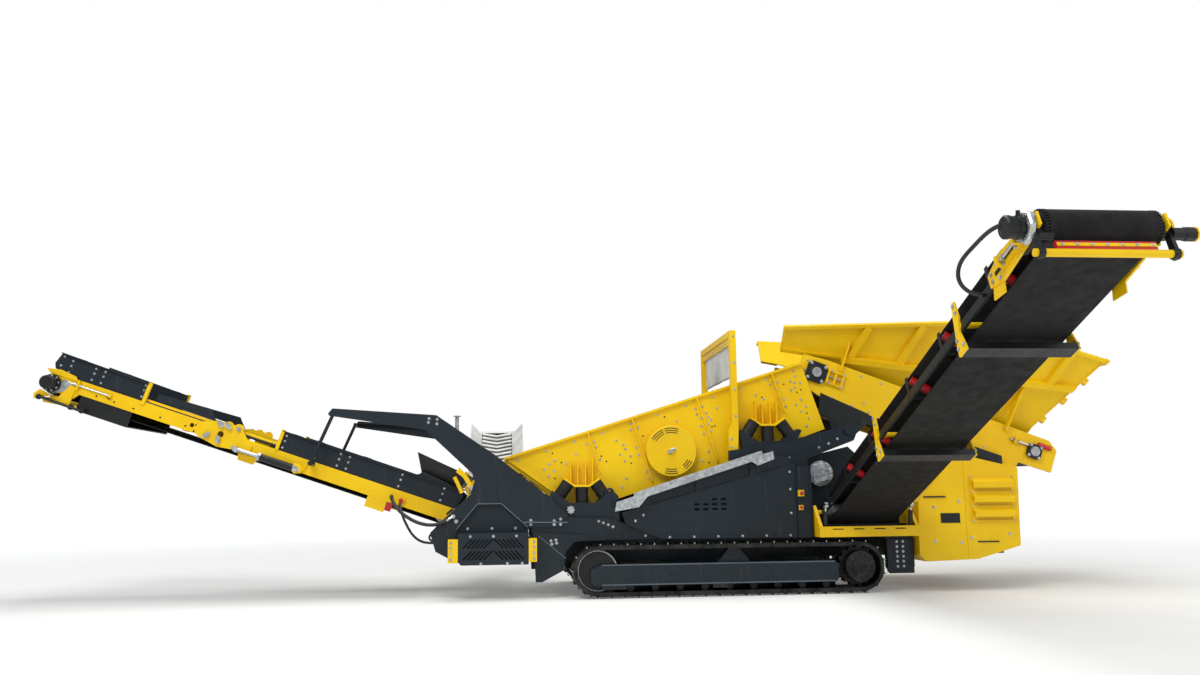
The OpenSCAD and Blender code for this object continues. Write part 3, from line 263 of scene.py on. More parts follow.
light("key", (-6, -11, 15), (0, 0, 1.5), (9, 7), 1650)
light("side", (13, -9, 8), (2, 0, 1.5), (6, 6), 380)
light("top", (0, 1, 15), (0, 0, 0), (12, 10), 1500)
sky = bpy.data.worlds.new("sky")
bpy.context.scene.world = sky
sky.use_nodes = True
nodes, links = sky.node_tree.nodes, sky.node_tree.links
seen, shed = nodes["Background"], nodes.new("ShaderNodeBackground")
for background, colour, strength in ((seen, (1.0, 1.0, 1.0, 1), 1.0), (shed, (0.93, 0.96, 1.0, 1), 0.42)):
    background.inputs["Color"].default_value = colour
    background.inputs["Strength"].default_value = strength
either = nodes.new("ShaderNodeMixShader")
links.new(nodes.new("ShaderNodeLightPath").outputs["Is Camera Ray"], either.inputs["Fac"])
links.new(shed.outputs["Background"], either.inputs[1])
links.new(seen.outputs["Background"], either.inputs[2])
links.new(either.outputs["Shader"], nodes["World Output"].inputs["Surface"])
bpy.context.scene.view_settings.view_transform = "Standard"
FLOOR_REACH = 150
corners = [(FLOOR_REACH * x, FLOOR_REACH * y, 0) for x, y in ((-1, -1), (1, -1), (1, 1), (-1, 1))]
floor_mesh = bpy.data.meshes.new("floor")
floor_mesh.from_pydata(corners, [], [(0, 1, 2, 3)])
floor = bpy.data.objects.new("floor", floor_mesh)
bpy.context.scene.collection.objects.link(floor)
print("three lights and a sky")

# %% [markdown]
# ## Node helpers for finishes
# A finish is a small node tree on Object coordinates, so it needs no unwrapping and keeps its scale on every piece.
# A class with one short call for each kind of node lets a finish be read as a list of layers.

# %% Node helpers
def linear(hexcode):
    """A screen colour written as six hex digits, turned into linear light."""
    c = np.array([int(hexcode[k:k + 2], 16) for k in (0, 2, 4)]) / 255.0
    c = np.where(c <= 0.04045, c / 12.92, ((c + 0.055) / 1.055) ** 2.4)
    return (*c.tolist(), 1.0)


class Finish:
    """A material whose nodes are added by short calls, with the Object coordinate at its root."""

    def __init__(self, name, metallic=0.0):
        self.mat = bpy.data.materials.new(name)
        self.mat.use_nodes = True
        self.tree = self.mat.node_tree
        self.shader = self.tree.nodes["Principled BSDF"]
        self.shader.inputs["Metallic"].default_value = metallic
        self.coord = self.tree.nodes.new("ShaderNodeTexCoord").outputs["Object"]

    def node(self, kind, **settings):
        """A new node of a kind, with its settings."""
        made = self.tree.nodes.new(kind)
        for key, value in settings.items():
            setattr(made, key, value)
        return made

    def link(self, a, b):
        """A link from one socket to another."""
        self.tree.links.new(a, b)

    def mapped(self, scale, turn=(0, 0, 0)):
        """Object coordinates scaled and turned."""
        m = self.node("ShaderNodeMapping")
        m.inputs["Scale"].default_value = scale
        m.inputs["Rotation"].default_value = turn
        self.link(self.coord, m.inputs["Vector"])
        return m.outputs["Vector"]

    def noise(self, scale, detail=4.0, rough=0.55, vector=None):
        """Noise from 0 to 1, on Object coordinates or on a vector that is given."""
        n = self.node("ShaderNodeTexNoise")
        n.inputs["Scale"].default_value = scale
        n.inputs["Detail"].default_value = detail
        n.inputs["Roughness"].default_value = rough
        self.link(vector or self.coord, n.inputs["Vector"])
        return n.outputs["Fac"]

    def ramp(self, value, low, high, out_low, out_high):
        """A value moved from one range to another and held there."""
        m = self.node("ShaderNodeMapRange")
        for key, number in zip(("From Min", "From Max", "To Min", "To Max"), (low, high, out_low, out_high)):
            m.inputs[key].default_value = number
        self.link(value, m.inputs["Value"])
        return m.outputs["Result"]

    def math(self, kind, a, b):
        """Two values put together by one operation."""
        m = self.node("ShaderNodeMath", operation=kind)
        self.link(a, m.inputs[0])
        self.link(b, m.inputs[1])
        return m.outputs[0]

    def mix(self, factor, a, b):
        """Two colours mixed by a pattern; either may be a colour of its own or another mix."""
        m = self.node("ShaderNodeMix", data_type="RGBA")
        self.link(factor, m.inputs[0])
        for socket, x in zip((m.inputs[6], m.inputs[7]), (a, b)):
            if isinstance(x, tuple):
                socket.default_value = x
            else:
                self.link(x, socket)
        return m.outputs[2]

    def height(self):
        """The height above the ground, in metres."""
        s = self.node("ShaderNodeSeparateXYZ")
        self.link(self.coord, s.inputs[0])
        return s.outputs["Z"]

    def facing_up(self):
        """One on faces that look up, falling to nought on walls, as dust settles."""
        g = self.node("ShaderNodeNewGeometry")
        s = self.node("ShaderNodeSeparateXYZ")
        self.link(g.outputs["Normal"], s.inputs[0])
        return self.ramp(s.outputs["Z"], 0.35, 0.95, 0.0, 1.0)

    def bump(self, value, strength, distance):
        """A value used as the height of small bumps."""
        b = self.node("ShaderNodeBump")
        b.inputs["Strength"].default_value = strength
        b.inputs["Distance"].default_value = distance
        self.link(value, b.inputs["Height"])
        self.link(b.outputs["Normal"], self.shader.inputs["Normal"])

    def done(self, colour, rough):
        """The material, with its colour and its roughness linked."""
        self.link(colour, self.shader.inputs["Base Color"])
        self.link(rough, self.shader.inputs["Roughness"])
        return self.mat


print("node helpers ready")

# %% [markdown]
# ## Kinds of finish
# Broad noise shifts the colour as sun and dust do, fine noise moves the gloss, and a third noise gives the bump of
# the paint or the rubber. Zinc has the grains of a hot-dip bath, from a cell pattern, and bright steel has lines
# from a noise that is stretched one way.

# %% Kinds of finish
def painted(name, main, shade, dust, rough=(0.28, 0.46), dusty=0.35, coat=0.25, scuff=0.5, shine=0.5):
    """Sprayed steel: two tones of one colour in broad clouds, dust on what faces up and low down, thin scuffs, and
    the slight orange peel of thick paint as bump."""
    f = Finish(name)
    cloud = f.ramp(f.noise(0.9, 5.0, 0.6), 0.35, 0.68, 0.0, 1.0)
    colour = f.mix(cloud, linear(main), linear(shade))
    fine = f.noise(14.0, 6.0, 0.7)
    settle = f.math("MULTIPLY", f.facing_up(), f.ramp(fine, 0.38, 0.66, 0.1 * dusty, 1.4 * dusty))
    low = f.math("MULTIPLY", f.ramp(f.height(), 0.25, 1.1, 0.55 * dusty, 0.0), f.ramp(fine, 0.4, 0.62, 0.0, 1.0))
    colour = f.mix(f.math("MAXIMUM", settle, low), colour, linear(dust))
    streak = f.noise(3.0, 3.0, 0.6, f.mapped((9.0, 9.0, 0.7)))
    colour = f.mix(f.ramp(streak, 0.6, 0.78, 0.0, 0.22), colour, linear(dust))
    lines = f.noise(6.0, 2.0, 0.5, f.mapped((1.5, 1.5, 26.0), (0.35, 0.5, 0.2)))
    scratched = f.math("MULTIPLY", f.ramp(lines, 0.70, 0.74, 0.0, scuff), f.ramp(f.noise(2.2), 0.52, 0.62, 0.0, 1.0))
    colour = f.mix(scratched, colour, linear(dust))
    f.shader.inputs["Coat Weight"].default_value = coat
    f.shader.inputs["Coat Roughness"].default_value = 0.2
    f.shader.inputs["Specular IOR Level"].default_value = shine
    f.bump(f.noise(160.0, 2.0), 0.25, 0.0006)
    return f.done(colour, f.ramp(fine, 0.3, 0.7, rough[0], rough[1]))


def rubbery(name, main, dust, rough=(0.55, 0.85), grain=220.0, shine=0.5):
    """Belt and spring rubber: near black, with rubbed dust in clouds, a dull gloss and a fine grain."""
    f = Finish(name)
    rub = f.noise(2.4, 6.0, 0.65)
    colour = f.mix(f.ramp(rub, 0.42, 0.72, 0.0, 0.75), linear(main), linear(dust))
    f.shader.inputs["Specular IOR Level"].default_value = shine
    f.bump(f.noise(grain, 3.0), 0.3, 0.0015)
    return f.done(colour, f.ramp(f.noise(9.0, 5.0), 0.3, 0.7, rough[0], rough[1]))


def zinc(name, pale, deep):
    """Hot-dip zinc: grains of slightly different grey and gloss, from the cells nearest to scattered points."""
    f = Finish(name, metallic=0.75)
    cell = f.node("ShaderNodeTexVoronoi")
    cell.inputs["Scale"].default_value = 26.0
    f.link(f.coord, cell.inputs["Vector"])
    s = f.node("ShaderNodeSeparateColor")
    f.link(cell.outputs["Color"], s.inputs[0])
    colour = f.mix(f.ramp(s.outputs[0], 0.0, 1.0, 0.0, 1.0), linear(pale), linear(deep))
    colour = f.mix(f.ramp(f.noise(3.0, 6.0, 0.7), 0.5, 0.75, 0.0, 0.4), colour, linear("8F8A7E"))
    f.bump(f.noise(90.0, 3.0), 0.12, 0.001)
    return f.done(colour, f.ramp(s.outputs[1], 0.0, 1.0, 0.3, 0.55))


def bare_steel(name, pale, deep):
    """Turned or rubbed steel: fine lines along one way, with a little grease in the hollows."""
    f = Finish(name, metallic=1.0)
    line = f.noise(9.0, 4.0, 0.6, f.mapped((2.0, 60.0, 60.0)))
    colour = f.mix(line, linear(pale), linear(deep))
    colour = f.mix(f.ramp(f.noise(7.0, 6.0, 0.7), 0.55, 0.7, 0.0, 0.6), colour, linear("2B2622"))
    f.bump(line, 0.12, 0.0006)
    return f.done(colour, f.ramp(f.noise(20.0), 0.3, 0.7, 0.22, 0.42))


def worn_tread(name):
    """Crawler steel: dark rolled steel with brown dirt in the hollows and polished faces where it runs."""
    f = Finish(name, metallic=0.9)
    rub = f.noise(5.0, 8.0, 0.7)
    colour = f.mix(f.ramp(rub, 0.35, 0.7, 0.0, 1.0), linear("1C1D20"), linear("4B4A48"))
    colour = f.mix(f.ramp(f.noise(2.1, 6.0, 0.7), 0.55, 0.75, 0.0, 0.75), colour, linear("241F1B"))
    f.bump(f.noise(60.0, 5.0), 0.3, 0.003)
    return f.done(colour, f.ramp(rub, 0.3, 0.7, 0.3, 0.6))


print("five kinds of finish")

# %% [markdown]
# ## The finishes
# The plant is sprayed in two colours, a warm yellow for what moves stone and a dark grey for what carries it, with
# red for rollers and stops. The floor is pale near the plant and gives off more light of its own farther out, so
# that it fades into the white of the sky with no horizon.

# %% The finishes
YELLOW = painted("yellow_paint", "F0C800", "E3B400", "C2A75A", rough=(0.34, 0.5), dusty=0.1, coat=0.08, shine=0.26)
DARK = painted("anthracite_paint", "18232B", "141D24", "565856", rough=(0.38, 0.56), dusty=0.13, coat=0.04,
               scuff=0.3, shine=0.3)
RED = painted("red_paint", "C4161C", "A81218", "8A6A60", dusty=0.15, coat=0.1)
BELT = rubbery("belt_rubber", "08090A", "191817", rough=(0.6, 0.85), shine=0.28)
RUBBER = rubbery("spring_rubber", "0C0D0E", "262422", rough=(0.45, 0.75), shine=0.35)
PALE_BELT = rubbery("dusty_belt", "D2D2CF", "9C9992", rough=(0.7, 0.95))
ZINC = zinc("hot_dip_zinc", "C9CDD0", "9FA5A9")
STEEL = bare_steel("bright_steel", "D6D8DA", "9A9DA0")
CAST = painted("black_casting", "0D0F10", "131618", "3F3C37", rough=(0.35, 0.55), dusty=0.15, coat=0.06,
               scuff=0.25, shine=0.35)
TREAD = worn_tread("crawler_steel")
FLOOR = painted("pale_floor", "E4E4E1", "E0E0DD", "DAD9D5", rough=(0.8, 0.9), dusty=0.1, coat=0.0, scuff=0.0)
nodes, links = FLOOR.node_tree.nodes, FLOOR.node_tree.links
glow = nodes["Principled BSDF"].inputs
glow["Emission Color"].default_value = (1.0, 1.0, 1.0, 1.0)
reach = nodes.new("ShaderNodeVectorMath")
reach.operation = "LENGTH"
fade = nodes.new("ShaderNodeMapRange")
for key, number in zip(("From Min", "From Max", "To Min", "To Max"), (7.0, 24.0, 0.12, 0.72)):
    fade.inputs[key].default_value = number
links.new(nodes["Texture Coordinate"].outputs["Object"], reach.inputs[0])
links.new(reach.outputs["Value"], fade.inputs["Value"])
links.new(fade.outputs["Result"], glow["Emission Strength"])
floor_mesh.materials.append(FLOOR)
print("finishes", len(bpy.data.materials))

# %% [markdown]
# ## Finishes on the solids
# The record gives every solid a slot, such as yellow or galvanised. The finish of that slot goes on the solid, so
# the dressing follows the record and no solid is forgotten. A few get another finish from a list of their own, such
# as the rubber springs.

# %% Dress the solids
BY_SLOT = {"yellow": YELLOW, "anthracite": DARK, "rubber_black": BELT, "galvanised": ZINC, "steel": STEEL,
           "red": RED, "grey": PALE_BELT, "track_steel": TREAD, "dark_metal": CAST}
BY_EYE = {"springs_lower": RUBBER, "springs_upper": RUBBER, "tail_skirts": DARK, "tail_scraper": YELLOW,
          "track_rollers": TREAD, "track_wheels": TREAD, "screen_decks": CAST, "side_guards": CAST,
          "side_frame": CAST}
for name, node in NODES.items():
    slot_name = node.data.materials[0].name.split(".")[0]
    node.data.materials[0] = BY_EYE.get(name, BY_SLOT[slot_name])
print("dressed", len(NODES), "solids,", len(BY_EYE), "of them by eye")

# %% [markdown]
# ## Places and curves
# Places were read in machine coordinates, whose X = 0 lies a little left of the tracks, and they are moved to the
# part's frame at the end. A conveyor has a frame of its own, along, across and square to its belt. A bent hose
# takes the shape of a thin strip held at some points, and a cubic curve whose slope and bend run on through each
# point is close to that.

# %% Places and curves
def spot(points):
    """Machine coordinates in metres, moved to the part's own frame."""
    return np.asarray(points, float) - SHIFT


def placed(origin, along, across, square):
    """A function that takes places (along, across, square) in a frame of its own to the part's frame."""
    origin, along, across, square = (np.asarray(v, float) for v in (origin, along, across, square))

    def place(points):
        p = np.asarray(points, float)
        return spot(origin + p[..., 0:1] * along + p[..., 1:2] * across + p[..., 2:3] * square)
    return place


SIDE_SLOPE = math.radians(22)
side_spot = placed((4.55, -1.05, 1.0), (0, -math.cos(SIDE_SLOPE), math.sin(SIDE_SLOPE)), (1, 0, 0),
                   (0, math.sin(SIDE_SLOPE), math.cos(SIDE_SLOPE)))


def smooth(points, steps=48):
    """A curve through the points: cubics between them whose slope and bend agree at each, as in a thin bent strip.
    The bends come from one set of linear equations, with the length along the points as parameter and free ends."""
    p = np.asarray(points, float)
    t = np.concatenate([[0.0], np.cumsum(np.linalg.norm(np.diff(p, axis=0), axis=1))])
    h = np.diff(t)
    system = np.diag(np.concatenate([[1.0], 2 * (h[:-1] + h[1:]), [1.0]]))
    system[np.arange(1, len(p) - 1), np.arange(0, len(p) - 2)] = h[:-1]
    system[np.arange(1, len(p) - 1), np.arange(2, len(p))] = h[1:]
    slopes = np.diff(p, axis=0) / h[:, None]
    free = np.zeros((1, 3))
    bend = np.linalg.solve(system, np.concatenate([free, 6 * np.diff(slopes, axis=0), free]))
    s = np.linspace(0, t[-1], steps)
    k = np.clip(np.searchsorted(t, s, side="right") - 1, 0, len(h) - 1)
    a, b, g = (t[k + 1] - s)[:, None], (s - t[k])[:, None], h[k][:, None]
    return ((bend[k] * a ** 3 + bend[k + 1] * b ** 3) / (6 * g) + (p[k] / g - bend[k] * g / 6) * a
            + (p[k + 1] / g - bend[k + 1] * g / 6) * b)


def length(path):
    """Length of a path, summed over its steps."""
    return float(np.linalg.norm(np.diff(path, axis=0), axis=1).sum())


print("foot of the side conveyor", side_spot([0, 0, 0]).round(3))

# %% [markdown]
# ## Hoses
# Two oil hoses leave the foot of the tail conveyor and hang in a curve to the near arm, and one feeds the motor at
# the head of the side conveyor. A hose is a fixed length of stiff rubber that must not kink, so each is one tube
# along a smooth curve. The routes follow the solids that hold their places, eased until no bend is tighter than
# four diameters.

# %% Hoses as cords
HOSE = rubbery("hose_rubber", "0E0F10", "2B2A28", rough=(0.35, 0.55), grain=400.0)
HOSE_ROUTES = {
    "foot_hose_upper": (spot([[-1.44, -0.78, 1.27], [-1.436, -0.865, 1.265], [-1.417, -0.942, 1.232],
                              [-1.384, -0.999, 1.178], [-1.335, -1.028, 1.114], [-1.274, -1.047, 1.056],
                              [-1.207, -1.075, 1.01], [-1.136, -1.105, 0.971], [-1.059, -1.128, 0.94],
                              [-0.977, -1.143, 0.921], [-0.891, -1.151, 0.917], [-0.807, -1.153, 0.931],
                              [-0.73, -1.153, 0.97]]), 0.022, "plant", "hoses"),
    "foot_hose_lower": (spot([[-1.33, -0.78, 1.18], [-1.327, -0.861, 1.175], [-1.315, -0.929, 1.132],
                              [-1.293, -0.967, 1.064], [-1.265, -0.965, 0.987], [-1.231, -0.95, 0.914],
                              [-1.191, -0.944, 0.842], [-1.141, -0.951, 0.778], [-1.077, -0.957, 0.727],
                              [-1.0, -0.954, 0.698], [-0.921, -0.971, 0.691], [-0.859, -1.024, 0.69],
                              [-0.83, -1.1, 0.69]]), 0.016, "plant", "hoses"),
    "motor_hose": (side_spot([[5.979, -0.66, 0.061], [5.901, -0.662, 0.127], [5.808, -0.666, 0.173],
                              [5.71, -0.669, 0.205], [5.61, -0.669, 0.229], [5.509, -0.667, 0.249],
                              [5.407, -0.667, 0.265], [5.305, -0.674, 0.272], [5.207, -0.693, 0.247],
                              [5.139, -0.703, 0.172], [5.115, -0.679, 0.077], [5.118, -0.609, 0.003],
                              [5.12, -0.51, -0.02]]), 0.018, "side_conveyor", "head_hose"),
}
for name, (points, radius, body, node) in HOSE_ROUTES.items():
    path = smooth(points)
    hose = put(name, *tube(path, radius, 12), HOSE, body, smooth=True, slot="rubber_black")
    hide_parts(node)
    print(name, "length", round(length(path), 3))

# %% [markdown]
# ## Places on the sloping frames
# The screen box, the tail conveyor and the feeder are built on slopes. A small function for each turns places
# along, across and square to the slope into the part's frame, so that a row of bolts is still a straight row of
# numbers.

# %% Sloping frames
def sloped(origin, degrees, flip=1.0):
    """A function from (along, across, square) to the part's frame for a slope in the X-Z plane."""
    a = math.radians(degrees)
    return placed(origin, (flip * math.cos(a), 0, math.sin(a)), (0, 1, 0), (-flip * math.sin(a), 0, math.cos(a)))


screen_spot = sloped((-0.03, 0.0, 1.74), 17.4)
tail_spot = sloped((-0.6, 0.0, 0.97), 19.0, -1.0)
feed_spot = sloped((4.1501, 0.0, 2.85), -20.0)
OUT_NEAR, OUT_FAR = np.array([0.0, -1.0, 0.0]), np.array([0.0, 1.0, 0.0])
NEAR_FAR = ((-1, OUT_NEAR), (1, OUT_FAR))


def at_width(flats, y):
    """Flat places (along, square) given one place across."""
    flats = np.asarray(flats, float)
    return np.c_[flats[:, 0], np.full(len(flats), y), flats[:, 1]]


def both_sides(part, flats, half, place):
    """One small part copied to flat places on the near and the far side, at a half width."""
    return joined([copies(part, place(at_width(flats, s * half)), axis) for s, axis in NEAR_FAR])


def bolt_rows(name, place, flats, half, body, material, r=0.014, h=0.012):
    """Bolt heads on both sides of the machine: flat places (along, square) at a half width, near and far."""
    return put(name, *both_sides(hexbolt(r, h), flats, half, place), material, body, slot="steel")


def line(a, b, count):
    """Evenly spaced places from a to b."""
    return np.linspace(a, b, count)


print("end of the feeder drum", feed_spot([0, 0, 0]).round(3))

# %% [markdown]
# ## Bolts of the screen box
# Each deck of the screen is clamped through the side plates, so rows of bright bolts show along the deck lines, in
# clusters at the cross beams and in pairs beside the ribs. The heads stand on the plate's outer face.

# %% Screen bolts
COVER = (2.09, -0.582)


def away(flats, centre, r):
    """True for the flat places that lie farther than r from a centre."""
    return np.hypot(flats[:, 0] - centre[0], flats[:, 1] - centre[1]) > r


deck_rows = [(u, -0.235) for u in line(0.62, 3.98, 13)] + [(u, -0.315) for u in line(0.74, 3.9, 9)]
deck_rows += [(u, -0.74) for u in line(0.86, 4.0, 12)] + [(u, -0.83) for u in line(0.98, 3.94, 9)]
under_flange = [(u, -0.085) for u in line(0.16, 4.02, 11)]
clusters = [(u + a, n + b) for u, n in [(0.45, -0.30), (1.45, -0.42), (2.62, -0.30), (3.90, -0.52), (3.93, -0.20)]
            for a, b in [(0, 0), (0.085, 0.045), (0.03, -0.10), (0.12, -0.06)]]
by_ribs = [(u + a, n) for u in (1.13, 1.735, 2.64, 3.71) for n in (-0.16, -0.40, -0.50) for a in (-0.055, 0.05)]
every = np.array(deck_rows + under_flange + clusters + by_ribs)
clear_of_cover = away(every, COVER, 0.36)
clear_of_fans = away(every, (0.925, -0.62), 0.30) & away(every, (3.486, -0.64), 0.30)
clear_of_portal = np.abs(every[:, 0] - 3.13 - 0.313 * every[:, 1]) > 0.09
inside = every[:, 1] > -0.06 - 1.29 * (every[:, 0] - 0.04)
kept = every[clear_of_cover & clear_of_fans & inside & clear_of_portal]
bolt_rows("screen_bolts", screen_spot, kept, 0.80, "screen_box", ZINC, r=0.012, h=0.011)
dark_plugs = np.array([(u + 0.07, n - 0.05) for u, n in kept[::4]])
dark_plugs = dark_plugs[away(dark_plugs, COVER, 0.37) & (dark_plugs[:, 1] > -0.9)]
plug = turned([(0.011, 0), (0.011, 0.003), (0.008, 0.004)], sides=10)
put("screen_plugs", *both_sides(plug, dark_plugs, 0.80, screen_spot), CAST, "screen_box", slot="steel")
print("screen bolts", 2 * len(kept), "plugs", 2 * len(dark_plugs))

# %% [markdown]
# ## Vibrator cover
# The exciter shaft runs behind a round cover with four groups of three arc slots, which look into the shade
# behind it. The solid has shallow slots; here the shade in each is painted as a thin dark band on a piece of a
# circle. A bright oval handle sits in the middle and the rim is rolled.

# %% Vibrator cover
def slot_shade_band(r, start, stop, wide, half, count=9):
    """A dark band of painted shade between two radii from one angle to another in the plane of the side plate, two
    millimetres thick.
    """
    a = np.radians(np.linspace(start, stop, count))
    way = np.c_[np.cos(a), np.sin(a)]
    flat = np.concatenate([(r + wide / 2) * way, (r - wide / 2) * way[::-1]]) + np.asarray(COVER)
    both = [at_width(flat, h) for h in (half, half + math.copysign(0.002, half))]
    return outward(screen_spot(np.concatenate(both)), drawn_out(len(flat)))


SLOT_GROUPS, SLOT_RADII = ((95, 131), (53, 90), (-70, -45), (-126, -92)), (0.294, 0.266, 0.238)
edge = turned([(0.3255, -0.006), (0.331, -0.004), (0.331, 0.0015), (0.318, 0.003), (0.31, 0.0)], sides=64)
t = angles(24)
for tag, (sign, axis) in zip(("near", "far"), NEAR_FAR):
    # Thin dark bands of painted shade stand for the shade seen through the arc slots.
    slot_shade_bands = [slot_shade_band(r, a, b, 0.011, sign * 0.8995) for a, b in SLOT_GROUPS for r in SLOT_RADII]
    put("cover_slot_shades_" + tag, *joined(slot_shade_bands), CAST, "screen_box", slot="dark_metal")
    put("cover_rim_" + tag, *copies(edge, screen_spot(at_width([COVER], sign * 0.90)), axis), YELLOW, "screen_box",
        smooth=True, slot="yellow")
    rings = [at_width(np.c_[COVER[0] + w * 0.058 * np.cos(t), COVER[1] + w * 0.03 * np.sin(t + 0.35)], sign * h)
             for w, h in ((1.0, 0.911), (1.0, 0.921), (0.8, 0.927), (0.3, 0.928))]
    faces = [tuple(f) for f in grid_faces(4, 24, wrap_v=True)] + [tuple(range(24)), tuple(range(95, 71, -1))]
    put("cover_handle_" + tag, *outward(screen_spot(np.concatenate(rings)), faces), STEEL, "screen_box", slot="steel")
print("cover slots", 2 * len(slot_shade_bands))

# %% [markdown]
# ## Plates, boxes and bolt circles
# A plant like this is mostly flame-cut plate, so one function carries an outline straight across by the plate's
# thickness. It works in the frame of the beam it sits on, and a second one does the same on both sides of the
# machine.

# %% Plates, boxes and bolt circles
def plate(outline, low, high, place):
    """An outline of (along, square) pairs carried across from low to high, in the frame of a place function."""
    both = np.concatenate([at_width(outline, y) for y in (low, high)])
    return outward(place(both), drawn_out(len(outline)))


def plates(outline, low, high, place):
    """The same plate on both sides of the middle, from one half width to another."""
    return [plate(outline, s * low, s * high, place) for s in (-1, 1)]


def slab(low, high, place):
    """A box between two corners in the frame of a place function."""
    low, high = np.asarray(low, float), np.asarray(high, float)
    return outward(place(np.where(BOX_CORNERS == 1, high, low)), BOX_FACES)


def slabs(low, high, place):
    """The same box on both sides of the middle."""
    return [slab(np.multiply(low, (1, s, 1)), np.multiply(high, (1, s, 1)), place) for s in (-1, 1)]


def circle(centre, r, count, start=0.0):
    """Flat places (along, square) spread evenly round a centre."""
    a = angles(count) + start
    return np.c_[centre[0] + r * np.cos(a), centre[1] + r * np.sin(a)]


print("a plate of four corners has", len(drawn_out(4)), "faces")

# %% [markdown]
# ## Head of the side conveyor
# The head drum is driven by an oil motor on a zinc flange, and on its other end runs a bearing with a stub shaft
# under a yellow cap. They are turned profiles, fitted closely over the plain solids that hold their places.

# %% Drive of the side conveyor
HEAD = 6.04  # the head drum's axis along the conveyor
UP_BELT = side_spot([1.0, 0, 0]) - side_spot([0.0, 0, 0])
SIDE_LEFT, SIDE_RIGHT = np.array([-1.0, 0, 0]), np.array([1.0, 0, 0])
profile = [(0.088, 0), (0.088, 0.028), (0.096, 0.032), (0.096, 0.06), (0.088, 0.064), (0.088, 0.116), (0.094, 0.12),
           (0.094, 0.15), (0.082, 0.162), (0.055, 0.162), (0.052, 0.157), (0.02, 0.157)]
motor = turned(profile, side_spot([HEAD, -0.587, 0]), SIDE_LEFT, 32)
ports = [rod(side_spot([HEAD + 0.06 * a, -0.64, 0.06]), side_spot([HEAD + 0.085 * a, -0.64, 0.10]), 0.017)
         for a in (-1, 1)]
put("side_motor", *joined([motor] + ports), CAST, "side_conveyor", slot="dark_metal")
flange = turned([(0.124, 0), (0.136, 0.004), (0.136, 0.03), (0.124, 0.046), (0.09, 0.046)],
                side_spot([HEAD, -0.548, 0]), SIDE_LEFT, 8)
around = side_spot(at_width(circle((HEAD, 0.0), 0.106, 8, 0.39), -0.594))
put("side_motor_flange", *flange, ZINC, "side_conveyor", slot="galvanised")
put("side_motor_bolts", *copies(hexbolt(0.011, 0.012), around, SIDE_LEFT), STEEL, "side_conveyor", slot="steel")
bearing = turned([(0.092, 0), (0.092, 0.04), (0.08, 0.062), (0.05, 0.062), (0.046, 0.07), (0.02, 0.07)],
                 side_spot([HEAD, 0.529, 0]), SIDE_RIGHT, 32)
profile = [(0.051, 0), (0.051, 0.10), (0.058, 0.104), (0.058, 0.172), (0.051, 0.176), (0.051, 0.191), (0.02, 0.191)]
stub = turned(profile, side_spot([6.1, 0.553, -0.09]), SIDE_RIGHT, 8)
put("side_bearing", *joined([bearing, stub]), CAST, "side_conveyor", slot="dark_metal")
cap = turned([(0.06, 0), (0.06, 0.012), (0.03, 0.014)], side_spot([6.1, 0.743, -0.09]), SIDE_RIGHT, 8)
put("side_stub_cap", *cap, YELLOW, "side_conveyor", slot="yellow")
print("drive and bearing on the head drum")

# %% [markdown]
# ## Belt scraper and lagging
# Two black arms hold a blade that wipes the belt clean: a red strip in a yellow clamp, held by a row of bolts. The
# drum's ends carry a lagging of slanted rubber ribs, which shows as a rim of dark and light beside the belt.

# %% Scraper and lagging
arms = plates([(6.058, -0.068), (6.117, -0.068), (6.117, -0.303), (6.043, -0.303)], 0.528, 0.558, side_spot)
stay = turned([(0.05, 0), (0.05, 0.12)], side_spot([6.085, -0.528, -0.10]), SIDE_RIGHT, 6)
put("scraper_arms", *joined(arms + [stay]), CAST, "side_conveyor", slot="dark_metal")
blade = slab((6.062, -0.405, -0.262), (6.098, 0.405, -0.164), side_spot)
put("scraper_blade", *blade, RED, "side_conveyor", slot="red")
clamp = slab((6.094, -0.40, -0.213), (6.106, 0.40, -0.186), side_spot)
put("scraper_clamp", *clamp, YELLOW, "side_conveyor", slot="yellow")
heads = side_spot([[6.106, y, -0.2] for y in line(-0.36, 0.36, 7)])
put("scraper_bolts", *copies(hexbolt(0.010, 0.009), heads, UP_BELT), ZINC, "side_conveyor", slot="steel")
ties = [turned([(0.045, 0), (0.045, 0.05)], side_spot([6.08, s * 0.515, -0.265]), s * SIDE_RIGHT, 16)
        for s in (-1, 1)]
put("scraper_clips", *joined(ties), CAST, "side_conveyor", slot="dark_metal")
RIB_FACES = [(0, 1, 2, 3), (4, 7, 6, 5), (0, 4, 5, 1), (1, 5, 6, 2), (2, 6, 7, 3), (3, 7, 4, 0)]
ribs = []
for s in (-1, 1):
    for t in angles(36):
        turn, r, half = np.array([(t + lean + wide, r, half) for lean, half in ((0.0, 0.425), (0.09 * s, 0.474))
                                  for wide, r in ((0.0, 0.118), (0.07, 0.118), (0.07, 0.146), (0.0, 0.146))]).T
        ribs.append(outward(side_spot(np.c_[HEAD + r * np.cos(turn), s * half, r * np.sin(turn)]), RIB_FACES))
discs = [turned([(0.131, 0), (0.131, 0.042), (0.12, 0.045), (0.05, 0.045)], side_spot([HEAD, s * 0.43, 0]),
                s * SIDE_RIGHT, 36) for s in (-1, 1)]
put("drum_lagging", *joined(ribs + discs), RUBBER, "side_conveyor", slot="rubber_black")
print("scraper bolts", len(heads), "lagging ribs", len(ribs))
